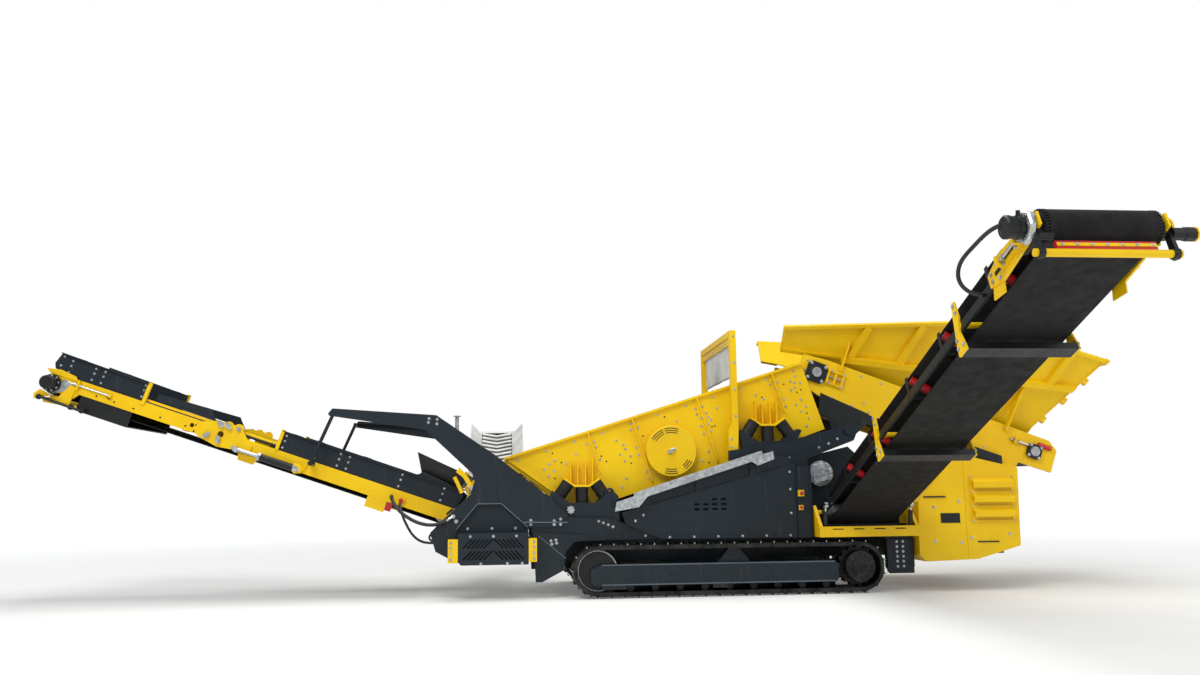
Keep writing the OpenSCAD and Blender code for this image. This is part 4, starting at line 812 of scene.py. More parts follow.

# %% [markdown]
# ## Take-up plates and straps
# The head slides in its plates when the belt is tightened: a long slot, whose shade is painted as a thin dark
# plate, a row of bolts and a threaded rod show it.
# At the two guards a yellow cross tube ties the straps.

# %% Take-up and straps
STRAPS = (2.29, 4.57)  # the straps' places along the conveyor
plate_bolts = np.array([(5.34, 0.035), (5.34, -0.03), (5.46, 0.075), (5.46, -0.07), (5.93, 0.05), (5.96, -0.055),
                        (6.14, 0.035)])
slide_bolts = np.array([(5.60, 0.04), (5.60, -0.03), (5.82, 0.03), (5.82, -0.025)])
on_strap = ((-0.06, -0.2), (0.045, -0.2), (-0.05, -0.12), (0.045, 0.12), (0.03, 0.2))
strap_bolts = np.array([(x + d, z) for x in STRAPS for d, z in on_strap])
bolts = []
for flats, half in ((plate_bolts, 0.53), (slide_bolts, 0.55), (strap_bolts, 0.53)):
    for s, axis in ((-1, SIDE_LEFT), (1, SIDE_RIGHT)):
        bolts.append(copies(hexbolt(0.016, 0.014), side_spot(at_width(flats, s * half)), axis))
put("side_head_bolts", *joined(bolts), ZINC, "side_conveyor", slot="steel")
# Thin dark plates of painted shade fill the slots of the take-up plates.
slot_shades = plates([(5.645, -0.012), (5.785, -0.008), (5.785, 0.014), (5.645, 0.018)], 0.549, 0.5525, side_spot)
slot_shades += plates([(5.40, -0.02), (5.50, -0.02), (5.50, 0.02), (5.40, 0.02)], 0.529, 0.5325, side_spot)
put("side_head_slot_shades", *joined(slot_shades), CAST, "side_conveyor", slot="dark_metal")
rods = [rod(side_spot([5.52, s * 0.575, 0.0]), side_spot([5.93, s * 0.575, 0.0]), 0.013) for s in (-1, 1)]
rods += [turned([(0.024, 0), (0.024, 0.03)], side_spot([x, s * 0.575, 0.0]), UP_BELT, 6)
         for s in (-1, 1) for x in (5.53, 5.62, 5.84)]
put("take_up_rods", *joined(rods), STEEL, "side_conveyor", slot="steel")
lugs = slabs((5.875, 0.548, -0.045), (5.90, 0.61, 0.05), side_spot)
lugs += slabs((5.565, 0.548, -0.045), (5.59, 0.61, 0.05), side_spot)
lugs += [rod(side_spot([x + 0.03, -0.512, 0.0]), side_spot([x + 0.03, 0.512, 0.0]), 0.028, 12) for x in STRAPS]
lugs += plates([(5.32, -0.05), (5.50, -0.08), (5.46, -0.21), (5.27, -0.17)], 0.512, 0.524, side_spot)
put("side_ties", *joined(lugs), YELLOW, "side_conveyor", slot="yellow")
print("take-up and strap bolts", 2 * (len(plate_bolts) + len(slide_bolts) + len(strap_bolts)))

# %% [markdown]
# ## Head of the tail conveyor
# The long conveyor at the left ends in another oil motor, with a flange of bolts on a zinc bracket. Threaded rods
# in yellow lugs tighten its belt, and a link below it holds the scraper against the drum.

# %% Tail drive
DRUM = 5.34  # the head drum's axis along the tail conveyor
TAIL_ALONG = tail_spot([1.0, 0, 0]) - tail_spot([0.0, 0, 0])
profile = [(0.078, 0), (0.078, 0.03), (0.088, 0.034), (0.088, 0.058), (0.078, 0.062), (0.078, 0.098), (0.084, 0.102),
           (0.084, 0.124), (0.07, 0.133), (0.045, 0.133), (0.042, 0.126), (0.02, 0.126)]
motor = turned(profile, tail_spot([DRUM, -0.838, 0.01]), OUT_NEAR, 28)
hub = turned([(0.112, 0), (0.112, 0.05), (0.104, 0.064), (0.076, 0.064)],
             tail_spot([DRUM, -0.7795, 0.01]), OUT_NEAR, 28)
far_hub = turned([(0.072, 0), (0.072, 0.045), (0.06, 0.062), (0.03, 0.062)],
                 tail_spot([DRUM, 0.7795, 0.01]), OUT_FAR, 28)
put("tail_motor", *joined([motor, hub, far_hub]), CAST, "plant", slot="dark_metal")
bracket = plate([(5.30, 0.03), (5.22, 0.10), (5.10, 0.09), (5.10, -0.015), (5.30, -0.09)], -0.781, -0.795, tail_spot)
put("tail_motor_bracket", *bracket, ZINC, "plant", slot="galvanised")
around = tail_spot(at_width(circle((DRUM, 0.01), 0.094, 9), -0.842))
put("tail_motor_bolts", *copies(hexbolt(0.010, 0.012), around, OUT_NEAR), ZINC, "plant", slot="steel")
rods, lugs = [], []
for s in (-1, 1):
    rods.append(rod(tail_spot([4.62, s * 0.80, 0.085]), tail_spot([5.16, s * 0.80, 0.085]), 0.011))
    rods += [turned([(0.021, 0), (0.021, 0.02)], tail_spot([u, s * 0.80, 0.085]), TAIL_ALONG, 6) for u in (5.0, 5.06)]
    lugs.append(slab((5.015, s * 0.779, 0.02), (5.04, s * 0.828, 0.15), tail_spot))
    lugs.append(slab((4.60, s * 0.779, 0.06), (4.63, s * 0.82, 0.115), tail_spot))
    lugs.append(plate([(5.05, 0.13), (5.42, 0.13), (5.47, 0.17), (5.30, 0.205), (5.10, 0.18)],
                      s * 0.779, s * 0.791, tail_spot))
    lugs.append(plate([(5.28, -0.13), (5.47, -0.235), (5.49, -0.17), (5.44, -0.10)], s * 0.801, s * 0.812, tail_spot))
put("tail_take_up", *joined(rods), STEEL, "plant", slot="steel")
put("tail_lugs", *joined(lugs), YELLOW, "plant", slot="yellow")
links = [rod(tail_spot([4.86, s * 0.825, -0.20]), tail_spot([5.40, s * 0.825, -0.19]), 0.018, count=4)
         for s in (-1, 1)]
links += [turned([(0.034, -0.014), (0.034, 0.014)], tail_spot([u, s * 0.825, -0.195]), OUT_FAR, 16)
          for s in (-1, 1) for u in (4.86, 5.0, 5.41)]
put("scraper_links", *joined(links), CAST, "plant", slot="dark_metal")
print("tail drive, rods and links")

# %% [markdown]
# ## Skirts along the tail belt
# Folded sheet skirts keep the stone on the belt. Each has a lip along its top, slots in the lip whose shade is
# painted as dark blocks, a seam where two lengths meet, rows of bolts, and a yellow post at its inner end.

# %% Skirts
def strip(path, low, high, thick):
    """A folded lip: a band along a path of (along, square) pairs, from one width to another, with a thickness."""
    flat = np.asarray(path, float)
    outline = np.concatenate([flat, flat[::-1] + [0.0, thick]])
    return plate(outline, low, high, tail_spot)


# Places of the lip's slots, whose shade is painted as dark blocks.
LIP_SLOT_SHADES = [(u, 0.352, 0.363) for u in (0.7, 1.5, 2.2)]
LIP_SLOT_SHADES += [(u, 0.374 + (u - 4.22) * 0.0215, 0.388 + (u - 4.22) * 0.0215) for u in (4.34, 5.06)]
lips, posts, slot_shades, seams = [], [], [], []
for s in (-1, 1):
    lips += [strip([(0.14, 0.343), (2.46, 0.348)], s * 0.742, s * 0.80, 0.012),
             strip([(4.22, 0.373), (5.38, 0.398)], s * 0.742, s * 0.80, 0.012),
             plate([(3.30, 0.20), (4.10, 0.21), (4.10, 0.30), (3.42, 0.33)], s * 0.70, s * 0.712, tail_spot)]
    posts += [slab((2.435, s * 0.758, 0.108), (2.475, s * 0.80, 0.372), tail_spot),
              slab((4.195, s * 0.758, 0.112), (4.235, s * 0.80, 0.40), tail_spot),
              slab((3.30, s * 0.70, 0.165), (4.20, s * 0.735, 0.195), tail_spot),
              slab((2.475, s * 0.70, 0.165), (3.2, s * 0.735, 0.195), tail_spot)]
    # Dark blocks of painted shade in the lip's slots; the seams are dark joints of their own colour.
    slot_shades += [slab((u, s * 0.752, low), (u + 0.12, s * 0.792, high), tail_spot) for u, low, high in LIP_SLOT_SHADES]
    seams += [slab((u, s * 0.7605, 0.15), (u + 0.006, s * 0.763, h), tail_spot)
              for u, h in ((1.62, 0.345), (4.86, 0.38))]
put("skirt_lips", *joined(lips), DARK, "plant", slot="anthracite")
put("skirt_posts", *joined(posts), YELLOW, "plant", slot="yellow")
put("skirt_slot_shades_and_seams", *joined(slot_shades + seams), CAST, "plant", slot="dark_metal")
skirt_bolts = [(u, n) for u in (4.27, 4.80, 4.92, 5.22) for n in (0.20, 0.285, 0.35)] + [(5.34, 0.25), (5.34, 0.37)]
skirt_bolts += [(u, n) for u in (2.40, 1.98, 1.68, 1.56, 0.86, 0.30) for n in (0.155, 0.24, 0.31)]
bolt_rows("skirt_bolts", tail_spot, skirt_bolts, 0.760, "plant", ZINC, r=0.011, h=0.010)
print("skirt bolts", 2 * len(skirt_bolts))

# %% [markdown]
# ## Fold knuckle and cylinders
# For the road the outer half of the conveyor folds back over the inner half. Oval keepers with one bolt hold the
# pins, and a dark cylinder barrel with a yellow clevis at its foot lies along the beam. The solids give the rod and
# the pins.

# %% Fold knuckle
def oval(centre, half, turn):
    """A keeper plate with round ends, about a centre, turned in the plane of the beam."""
    t = np.linspace(-np.pi / 2, np.pi / 2, 9)
    end = np.c_[0.026 + 0.026 * np.cos(t), 0.026 * np.sin(t)]
    flat = np.concatenate([end, -end])
    c, q = math.cos(turn), math.sin(turn)
    outline = np.asarray(centre) + flat @ np.array([[c, q], [-q, c]])
    return plate(outline, half, half + math.copysign(0.012, half), tail_spot)


PINS = [(3.324, 0.008), (3.172, -0.003), (3.208, 0.19), (3.11, 0.195)]
keepers, barrels, clevis, glands = [], [], [], []
for s in (-1, 1):
    keepers += [oval(p, s * 0.829, t) for p, t in zip(PINS, (2.2, 1.2, 0.6, 0.5))]
    keepers += [oval(p, s * 0.884, 0.4) for p in ((2.915, -0.045), (2.13, -0.04))]
    barrels.append(tube(tail_spot([[u, s * 0.855, -0.04] for u in (2.165, 2.2, 2.4, 2.6)]), 0.0445, 16))
    glands.append(tube(tail_spot([[u, s * 0.855, -0.04] for u in (2.59, 2.63)]), 0.051, 16))
    clevis.append(plate([(2.02, 0.05), (2.13, 0.06), (2.22, 0.02), (2.19, -0.07), (2.13, -0.10), (2.05, -0.07)],
                        s * 0.781, s * 0.803, tail_spot))
    clevis.append(plate([(2.07, 0.03), (2.16, 0.03), (2.19, -0.05), (2.13, -0.10), (2.06, -0.06)],
                        s * 0.872, s * 0.884, tail_spot))
    clevis.append(plate([(2.64, -0.075), (2.90, -0.08), (2.87, -0.165), (2.68, -0.165)],
                        s * 0.70, s * 0.74, tail_spot))
put("pin_keepers", *joined(keepers), ZINC, "plant", slot="galvanised")
put("fold_barrels", *joined(barrels), CAST, "plant", slot="dark_metal")
put("fold_glands", *joined(glands), STEEL, "plant", slot="steel")
put("fold_clevises", *joined(clevis), YELLOW, "plant", slot="yellow")
# Dark discs of painted shade in the holes of the beam.
beam_hole_shades = [(u, 0.03) for u in (3.62, 3.95, 4.3, 4.55, 4.78)]
beam_hole_shades += [(3.50, 0.0), (3.50, 0.08), (2.84, 0.06), (2.84, 0.0)]
hole_shade = turned([(0.012, 0), (0.012, 0.002)], sides=10)
put("beam_hole_shades", *both_sides(hole_shade, beam_hole_shades, 0.7801, tail_spot), CAST, "plant", slot="dark_metal")
stops = slabs((0.72, 0.7795, -0.04), (0.80, 0.82, 0.04), tail_spot)
stops += slabs((0.93, 0.741, -0.21), (1.18, 0.775, -0.06), tail_spot)
put("tail_brackets", *joined(stops), YELLOW, "plant", slot="yellow")
presses = [turned([(0.014, 0), (0.014, 0.012), (0.028, 0.016), (0.028, 0.028), (0.02, 0.034)],
                  tail_spot([0.76, s * 0.8195, 0.0]), axis, 20) for s, axis in NEAR_FAR]
presses += slabs((0.85, 0.741, -0.18), (0.925, 0.78, -0.075), tail_spot)
put("tail_stops", *joined(presses), RED, "plant", slot="red")
print("keepers", len(keepers), "stops", len(stops))

# %% [markdown]
# ## Bolts and fittings of the arms
# The arms of the gantry are bent plate. Bright bolts sit at the elbow, along the flange where arm meets chassis,
# and in small groups on the wedge. Their edges catch the light, so narrow paler strips of painted highlight follow
# the arch, the wedge and the seam. The far side gets the same, as the machine is built alike on both.

# %% Gantry fittings
elbow = [(-0.961, 2.226), (-0.86, 2.216), (-0.968, 2.178), (-0.862, 2.160)]
flange_line = [(0.31, 0.955), (0.31, 0.905), (0.60, 0.945), (0.60, 0.90), (0.68, 0.965), (0.68, 0.90)]
wedge = [(0.56, 0.70), (0.62, 0.71), (0.57, 0.66), (0.63, 0.67)]
bolt_rows("gantry_bolts", spot, elbow + flange_line + wedge, 1.13, "plant", ZINC, r=0.014, h=0.012)
rail_bolts = [(1.16, 0.93), (1.22, 0.91), (1.28, 0.885), (1.34, 0.86)] + [(x, 0.745) for x in line(1.75, 4.7, 9)]
bolt_rows("rail_bolts", spot, rail_bolts, 1.10, "plant", ZINC, r=0.013, h=0.011)
# The seam strip is a painted highlight along the flange line, where it catches the light.
seam_highlight = plates([(0.225, 0.926), (0.76, 0.917), (0.77, 0.931), (0.22, 0.940)], 1.129, 1.142, spot)
# A thin dark plate of painted shade in the cut-out of the arm.
cut_shade = plates([(-0.72, 1.03), (-0.64, 1.10), (-0.66, 1.12), (-0.74, 1.05)], 1.129, 1.1315, spot)
# Pale paint for the strips of painted highlight where edges catch the light.
EDGE_HIGHLIGHT = painted("painted_edge_highlight", "5A6771", "4C5862", "80868A", rough=(0.35, 0.5), dusty=0.1, coat=0.05, shine=0.35)


def highlight_strip(points, width, side):
    """A narrow strip of painted highlight on an upright plate: each step of the line is a flat bar, widened square to
    the step.
    """
    p = np.asarray(points, float)
    d = np.diff(p, axis=0)
    n = np.c_[-d[:, 1], d[:, 0]] / np.linalg.norm(d, axis=1)[:, None] * width
    return [plate([p[k], p[k + 1], p[k + 1] + n[k], p[k] + n[k]], side * 1.1295, side * 1.1335, spot)
            for k in range(len(d))]


# Strips of painted highlight along the arch edges and the wedge's diagonal edge.
arch_near = [(0.27, 0.87), (-0.06, 1.16), (-0.35, 1.16), (-0.60, 0.86)]
arch_far = [(0.32, 0.87), (0.30, 1.18), (-0.48, 1.18), (-0.61, 1.09), (-0.62, 0.86)]
edges = highlight_strip(arch_near[::-1], 0.011, -1) + highlight_strip(arch_far[::-1], 0.011, 1)
for side in (-1, 1):
    edges += highlight_strip([(0.40, 0.76), (0.74, 0.48)], 0.010, side)
put("arm_edge_highlights", *joined(edges), EDGE_HIGHLIGHT, "plant", slot="anthracite")
put("arm_seam_highlights", *joined(seam_highlight), EDGE_HIGHLIGHT, "plant", slot="anthracite")
put("arm_cut_shades", *joined(cut_shade), CAST, "plant", slot="dark_metal")
post = joined([tube(spot([[-0.72, 1.115, z] for z in (2.20, 2.3, 2.419)]), 0.0295, 16),
               turned([(0.057, 0), (0.057, 0.014), (0.02, 0.016)], spot([-0.72, 1.115, 2.4185]), [0, 0, 1], 24)])
put("post_cap", *post, ZINC, "plant", slot="galvanised")
print("arm bolts", 2 * (len(elbow) + len(flange_line) + len(wedge) + len(rail_bolts)))

# %% [markdown]
# ## Star knob, eyes and hooks
# A star knob clamps a cover by hand, the eyes take a lifting hook, and short bent pipes with six-sided nuts end the
# oil lines. Under each arm hang a yellow hook and a small ram. The knob's radius follows a cosine of the angle, and
# an eye is a circle carried round a circle.

# %% Star knob, eyes and hooks
def star(at, axis, r, lobes=8, h=0.02):
    """A star knob: a disc whose radius swells and shrinks with the angle, r (1 + 0.16 cos(lobes a))."""
    a = angles(6 * lobes)
    swell = r * (1 + 0.16 * np.cos(lobes * a))
    flat = np.c_[swell * np.cos(a), swell * np.sin(a)]
    both = np.concatenate([np.c_[flat, np.zeros(len(a))], np.c_[flat * 0.86, np.full(len(a), h)]])
    return copies(outward(both, drawn_out(len(a))), [at], axis)


def ring_eye(at, r, thick, axis):
    """A lifting eye: a circle of a thickness carried round a circle of radius r."""
    a, b = np.meshgrid(angles(20), angles(8), indexing="ij")
    wide = r + thick * np.cos(b)
    points = np.stack([wide * np.cos(a), wide * np.sin(a), thick * np.sin(b)], -1).reshape(-1, 3)
    return copies(outward(points, grid_faces(20, 8, True, True)), [at], axis)


knobs, eyes, fits = [], [], []
for s, axis in NEAR_FAR:
    knobs.append(star(spot([0.811, s * 1.09, 1.075]), axis, 0.05))
    knobs.append(turned([(0.014, 0), (0.014, 0.045)], spot([0.811, s * 1.058, 1.075]), axis, 10))
    eyes.append(ring_eye(spot([-0.895, s * 1.115, 0.765]), 0.042, 0.013, axis))
    eyes.append(ring_eye(spot([1.31, s * 1.03, 1.285]), 0.045, 0.016, axis))
    fits += [tube(spot([[-0.76, s * 1.145, 0.945], [-0.70, s * 1.15, 0.985], [-0.655, s * 1.145, 1.01]]), 0.019, 10)]
    fits += [turned([(r, -0.012), (r, 0.02)], spot([x, s * 1.13, z]), axis, 6)
             for r, x, z in ((0.03, -0.65, 1.015), (0.026, -0.61, 0.955))]
put("star_knobs", *joined(knobs), ZINC, "plant", slot="galvanised")
put("lifting_eyes", *joined(eyes), DARK, "plant", slot="anthracite")
put("hose_fittings", *joined(fits), STEEL, "plant", slot="steel")
HOOK = [(-0.58, 1.62), (-0.47, 1.50), (-0.42, 1.40), (-0.45, 1.36), (-0.54, 1.50), (-0.62, 1.56)]
hooks, small_rams = [], []
for s in (-1, 1):
    hooks.append(plate(HOOK, s * 1.06, s * 1.10, spot))
    ram = [[-0.64, s * 1.08, 1.50], [-0.60, s * 1.08, 1.42], [-0.545, s * 1.08, 1.30]]
    small_rams.append(tube(spot(ram), 0.024, 12))
put("arm_hooks", *joined(hooks), YELLOW, "plant", slot="yellow")
put("arm_rams", *joined(small_rams), YELLOW, "plant", slot="yellow")
print("knobs", len(knobs) // 2, "eyes", len(eyes))

# %% [markdown]
# ## Funnel over the foot of the tail belt
# Stone from under the screen falls through a flared chute of black plate on to the tail belt. It is wider at its
# top than at its foot, so it is a small grid between two outlines, with a thickness.

# %% Funnel
def funnel(low, high, thick):
    """A flared wall: two outlines in plan joined by straight lines from a low to a high level, given a thickness."""
    low, high = np.asarray(low, float), np.asarray(high, float)
    t = np.linspace(0, 1, 5)[:, None, None]
    wall = low[None] * (1 - t) + high[None] * t
    middle = wall.mean((0, 1))
    inner = wall + thick * unit((middle - wall) * [1, 1, 0])
    nu, nv = wall.shape[:2]
    both = np.concatenate([wall.reshape(-1, 3), inner.reshape(-1, 3)])
    quads = grid_faces(nu, nv, wrap_v=True)
    k, ahead, inside = np.arange(nv), (np.arange(nv) + 1) % nv, nu * nv
    low_rim, high_rim = (np.stack([r + k, r + ahead, inside + r + ahead, inside + r + k], -1)
                         for r in (0, (nu - 1) * nv))
    return outward(both, np.concatenate([quads, quads[:, ::-1] + inside, low_rim, high_rim[:, ::-1]]))


foot = tail_spot([[0.62, -0.66, 0.36], [0.62, 0.66, 0.36], [0.14, 0.66, 0.36], [0.14, -0.66, 0.36]])
top = tail_spot([[0.78, -0.72, 0.64], [0.78, 0.72, 0.64], [0.02, 0.72, 0.56], [0.02, -0.72, 0.56]])
shape = funnel(foot, top, 0.012)
put("tail_funnel", *shape, CAST, "plant", slot="dark_metal")
print("funnel faces", len(shape[1]))

# %% [markdown]
# ## Cross conveyor belt
# The cross belt carries raised chevrons that keep fine stone from rolling back, between pale flared side boards.
# Each chevron is two slanted bars on a darker ground; a row of them follows the belt up its slope on the far side.

# %% Chevrons and wings
CROSS_SLOPE = math.radians(30.8)
cross_spot = placed((-0.15, 1.25, 1.03), (0, math.cos(CROSS_SLOPE), math.sin(CROSS_SLOPE)), (1, 0, 0),
                    (0, -math.sin(CROSS_SLOPE), math.cos(CROSS_SLOPE)))
bars = []
for t in line(0.22, 2.1, 16):
    for s in (-1, 1):
        flat = np.array([(t, 0.0), (t + 0.06, 0.0), (t + 0.15, 0.24), (t + 0.09, 0.24)]) * [1, s]
        both = np.concatenate([np.c_[flat, np.full(4, h)] for h in (0.111, 0.136)])
        bars.append(outward(cross_spot(both), BOX_FACES))
put("belt_chevrons", *joined(bars), PALE_BELT, "plant", slot="grey")
ground = slab((0.15, -0.25, 0.1125), (2.28, 0.25, 0.116), cross_spot)
put("belt_ground", *ground, BELT, "plant", slot="rubber_black")
wing = np.array([(0.2, 0.255, 0.112), (2.25, 0.255, 0.112), (2.25, 0.275, 0.112), (0.2, 0.275, 0.112),
                 (0.2, 0.41, 0.30), (2.25, 0.41, 0.30), (2.25, 0.425, 0.29), (0.2, 0.425, 0.29)])
wings = [outward(cross_spot(wing * [1, s, 1]), BOX_FACES) for s in (-1, 1)]
put("belt_wings", *joined(wings), PALE_BELT, "plant", slot="grey")
print("chevron bars", len(bars))

# %% [markdown]
# ## Tail guard of the cross conveyor
# On the near side a louvred guard closes the foot of the cross belt. It is shaded inside, so a plain black sheet
# of painted shade stands close behind its slats, and bright bolts hold the guard, the hood above it and its
# yellow brackets.

# %% Tail guard
# A black sheet of painted shade behind the guard's slats, where the inside lies in shadow.
put("guard_shade_sheet", *slab((-0.53, -1.245, 0.445), (0.27, -1.238, 0.795), spot), RUBBER, "plant", slot="rubber_black")
on_guard = ((-0.43, 0.775), (-0.15, 0.775), (0.13, 0.775), (-0.30, 0.447), (0.02, 0.447), (0.20, 0.447))
guard_bolts = spot([[x, -1.30, z] for x, z in on_guard])
hood_bolts = spot([[x, -1.075, 0.86] for x in (-0.47, -0.17, 0.12)])
bracket_bolts = spot([[x, -1.30, z] for x in (-0.665, 0.345) for z in (0.50, 0.57, 0.64, 0.70)])
near = [copies(hexbolt(0.013, 0.012), p, OUT_NEAR) for p in (guard_bolts, hood_bolts, bracket_bolts)]
put("guard_bolts", *joined(near), ZINC, "plant", slot="steel")
print("guard bolts", len(guard_bolts) + len(hood_bolts) + len(bracket_bolts))

# %% [markdown]
# ## Feeder bearings and belt take-up
# The feeder's head drum runs in square four-bolt bearings with a bright ring. Beside it a yellow ladder holds the
# tightening rod, and at the tail the same is done with a red cap on the rod's end.

# %% Feeder ends
blocks, rings, bolts, ladders, rods, caps = [], [], [], [], [], []
CHAMFERED = [(-1, -0.7), (-0.7, -1), (0.7, -1), (1, -0.7), (1, 0.7), (0.7, 1), (-0.7, 1), (-1, 0.7)]
FEED_ALONG = feed_spot([1.0, 0, 0]) - feed_spot([0.0, 0, 0])
for s, axis in NEAR_FAR:
    for u, w in ((0.0, 0.135), (3.17, 0.095)):
        blocks.append(plate([(u + w * a, w * b) for a, b in CHAMFERED], s * 0.749, s * 0.797, feed_spot))
        blocks.append(turned([(0.098, 0), (0.098, 0.045), (0.085, 0.052), (0.04, 0.052)],
                             feed_spot([u, s * 0.749, 0]), axis, 28))
        rings.append(turned([(0.066, 0), (0.066, 0.008), (0.044, 0.008), (0.04, 0.002)],
                            feed_spot([u, s * 0.80, 0]), axis, 28))
        corners = [[u + a * w, s * 0.797, b * w] for a in (-0.74, 0.74) for b in (-0.74, 0.74)]
        bolts.append(copies(hexbolt(0.017, 0.016), feed_spot(corners), axis))
    ladders += [slab((x, s * 0.749, -0.085), (x + 0.022, s * 0.80, 0.085), feed_spot) for x in (0.15, 0.255, 0.36)]
    ladders += [slab((0.145, s * 0.749, z), (0.39, s * 0.79, z + 0.018), feed_spot) for z in (-0.095, 0.077)]
    corners = [[x, s * 0.79, z] for x in (0.20, 0.38) for z in (-0.086, 0.086)]
    bolts.append(copies(hexbolt(0.013, 0.014), feed_spot(corners), axis))
    rods.append(tube(feed_spot([[u, s * 0.775, 0.0] for u in (0.09, 0.25, 0.40)]), 0.012, 10))
    rods.append(tube(feed_spot([[u, s * 0.775, 0.055] for u in (2.80, 2.95, 3.10)]), 0.014, 10))
    rods += [turned([(0.025, 0), (0.025, 0.025)], feed_spot([u, s * 0.775, 0.055]), FEED_ALONG, 6)
             for u in (2.84, 2.90)]
    ladders += [slab((2.86, s * 0.749, 0.01), (2.885, s * 0.81, 0.10), feed_spot)]
    caps.append(tube(feed_spot([[u, s * 0.775, 0.11] for u in (3.20, 3.25, 3.38)]), 0.032, 14))
put("feeder_bearings", *joined(blocks), CAST, "plant", slot="dark_metal")
put("feeder_rings", *joined(rings), STEEL, "plant", slot="steel")
put("feeder_bolts", *joined(bolts), ZINC, "plant", slot="steel")
put("feeder_ladders", *joined(ladders), YELLOW, "plant", slot="yellow")
put("feeder_rods", *joined(rods), STEEL, "plant", slot="steel")
put("feeder_caps", *joined(caps), RED, "plant", slot="red")
rails = plates([(1.72, -0.235), (2.74, -0.214), (2.78, -0.33), (1.76, -0.36)], 0.7495, 0.80, feed_spot)
put("feeder_rails", *joined(rails), DARK, "plant", slot="anthracite")
# Black plates of painted shade over the upper feeder legs, where shadow falls.
shade_plates = plates([(0.14, -0.24), (0.86, -0.29), (0.62, -0.62), (0.20, -0.52)], 0.7495, 0.754, feed_spot)
put("feeder_shade_plates", *joined(shade_plates), CAST, "plant", slot="dark_metal")
flats = [(u, 0.16) for u in line(0.6, 2.7, 8)] + [(u, -0.17) for u in (0.75, 1.3, 1.9, 2.5)]
flats += [(-0.15, 0.12), (-0.15, -0.02), (0.30, -0.25), (0.60, -0.26), (0.85, -0.26)]
bolt_rows("feeder_side_bolts", feed_spot, flats, 0.75, "plant", ZINC, r=0.012, h=0.011)
print("feeder bearings", len(blocks) // 2)

# %% [markdown]
# ## Engine housings
# Each housing has doors with round locks, two long dark handles and a bare dark plate, and small bolts hold the
# frame of the louvre. All of these are flat or turned pieces that stand a few millimetres out from the sheet.

# %% Housings
LOCKS = ((5.46, 0.62), (5.46, 1.05), (5.80, 0.60), (5.80, 1.12), (5.94, 0.66), (6.46, 0.70))
dark, locks, lines = [], [], []
for s, axis in NEAR_FAR:
    dark.append(slab((5.545, s * 1.2495, 0.848), (5.80, s * 1.256, 0.972), spot))
    locks += [turned([(0.02, 0), (0.02, 0.006), (0.012, 0.008)], spot([x, s * 1.2495, z]), axis, 16)
              for x, z in LOCKS]
    lines += [slab((5.33, s * 1.2495, 1.172), (5.62, s * 1.264, 1.19), spot),
              slab((6.02, s * 1.2495, 0.60), (6.30, s * 1.262, 0.615), spot)]
put("housing_darks", *joined(dark), CAST, "plant", slot="dark_metal")
put("housing_locks", *joined(locks), STEEL, "plant", slot="steel")
put("housing_handles", *joined(lines), CAST, "plant", slot="dark_metal")
louvre_bolts = [(x, z) for x in (5.975, 6.525) for z in (0.87, 1.05, 1.235, 1.425)]
bolt_rows("louvre_bolts", spot, louvre_bolts, 1.264, "plant", ZINC, r=0.009, h=0.008)
print("locks", len(locks))

# %% [markdown]
# ## Screen portal and its curtain
# The portal holds a rubber curtain above the screen so that stone cannot fly back. The curtain is a sheet that
# hangs from a clamping strip with a row of bolts: flat at the strip, with slow waves that grow towards its free
# edge.

# %% Portal curtain
def hung_sheet(width, drop, waves, swing, nu=49, nv=19):
    """A hanging sheet on a grid, y across and z = -d: x is the swing times (d / drop)^1.5 times a sine with so many
    waves across, and a smaller, quicker sine that grows evenly with d."""
    y, d = np.meshgrid(np.linspace(-width / 2, width / 2, nu), np.linspace(0, drop, nv), indexing="ij")
    x = swing * (d / drop) ** 1.5 * np.sin(2 * np.pi * waves * (y / width + 0.13))
    x += 0.3 * swing * (d / drop) * np.sin(9.0 * y)
    return np.stack([x, y, -d], -1).reshape(-1, 3), [tuple(f) for f in grid_faces(nu, nv)]


cloth, quads = hung_sheet(1.49, 0.53, 2.5, 0.006)
curtain = put("curtain_sheet", cloth + spot([2.967, 0.0, 3.30]), quads, PALE_BELT, "plant", smooth=True, slot="grey")
wall = curtain.modifiers.new("thickness", "SOLIDIFY")
wall.thickness, wall.offset = 0.010, 0.0
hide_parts("portal_curtain")
put("curtain_strip", *slab((2.944, -0.90, 3.205), (2.9615, 0.90, 3.302), spot), YELLOW, "plant", slot="yellow")
heads = copies(hexbolt(0.012, 0.011), spot([[2.944, y, 3.245] for y in line(-0.68, 0.68, 9)]), [-1, 0, 0])
put("curtain_bolts", *heads, ZINC, "plant", slot="steel")
portal_flats = [(2.975, z) for z in (2.25, 2.6, 2.95, 3.3)] + [(2.91, 1.85), (2.91, 1.95), (2.96, 1.78)]
bolt_rows("portal_bolts", spot, portal_flats, 1.00, "plant", ZINC, r=0.013, h=0.012)
print("curtain bolts 9")

# %% [markdown]
# ## Crawler tracks
# A track shoe is held by four bolts. The chain's path is two straight runs and two half circles, so a shoe's place
# follows from the length along that path.

# %% Shoe bolts
CHAIN_RUN, CHAIN_R, SHOES = 3.32, 0.3068, 51
IDLER_X, SPROCKET_X, AXLE_Z = 1.13, 4.45, 0.33
HALF_TURN = np.pi * CHAIN_R
STEP = 2 * (CHAIN_RUN + HALF_TURN) / SHOES
ACROSS = np.array([0.0, 1.0, 0.0])


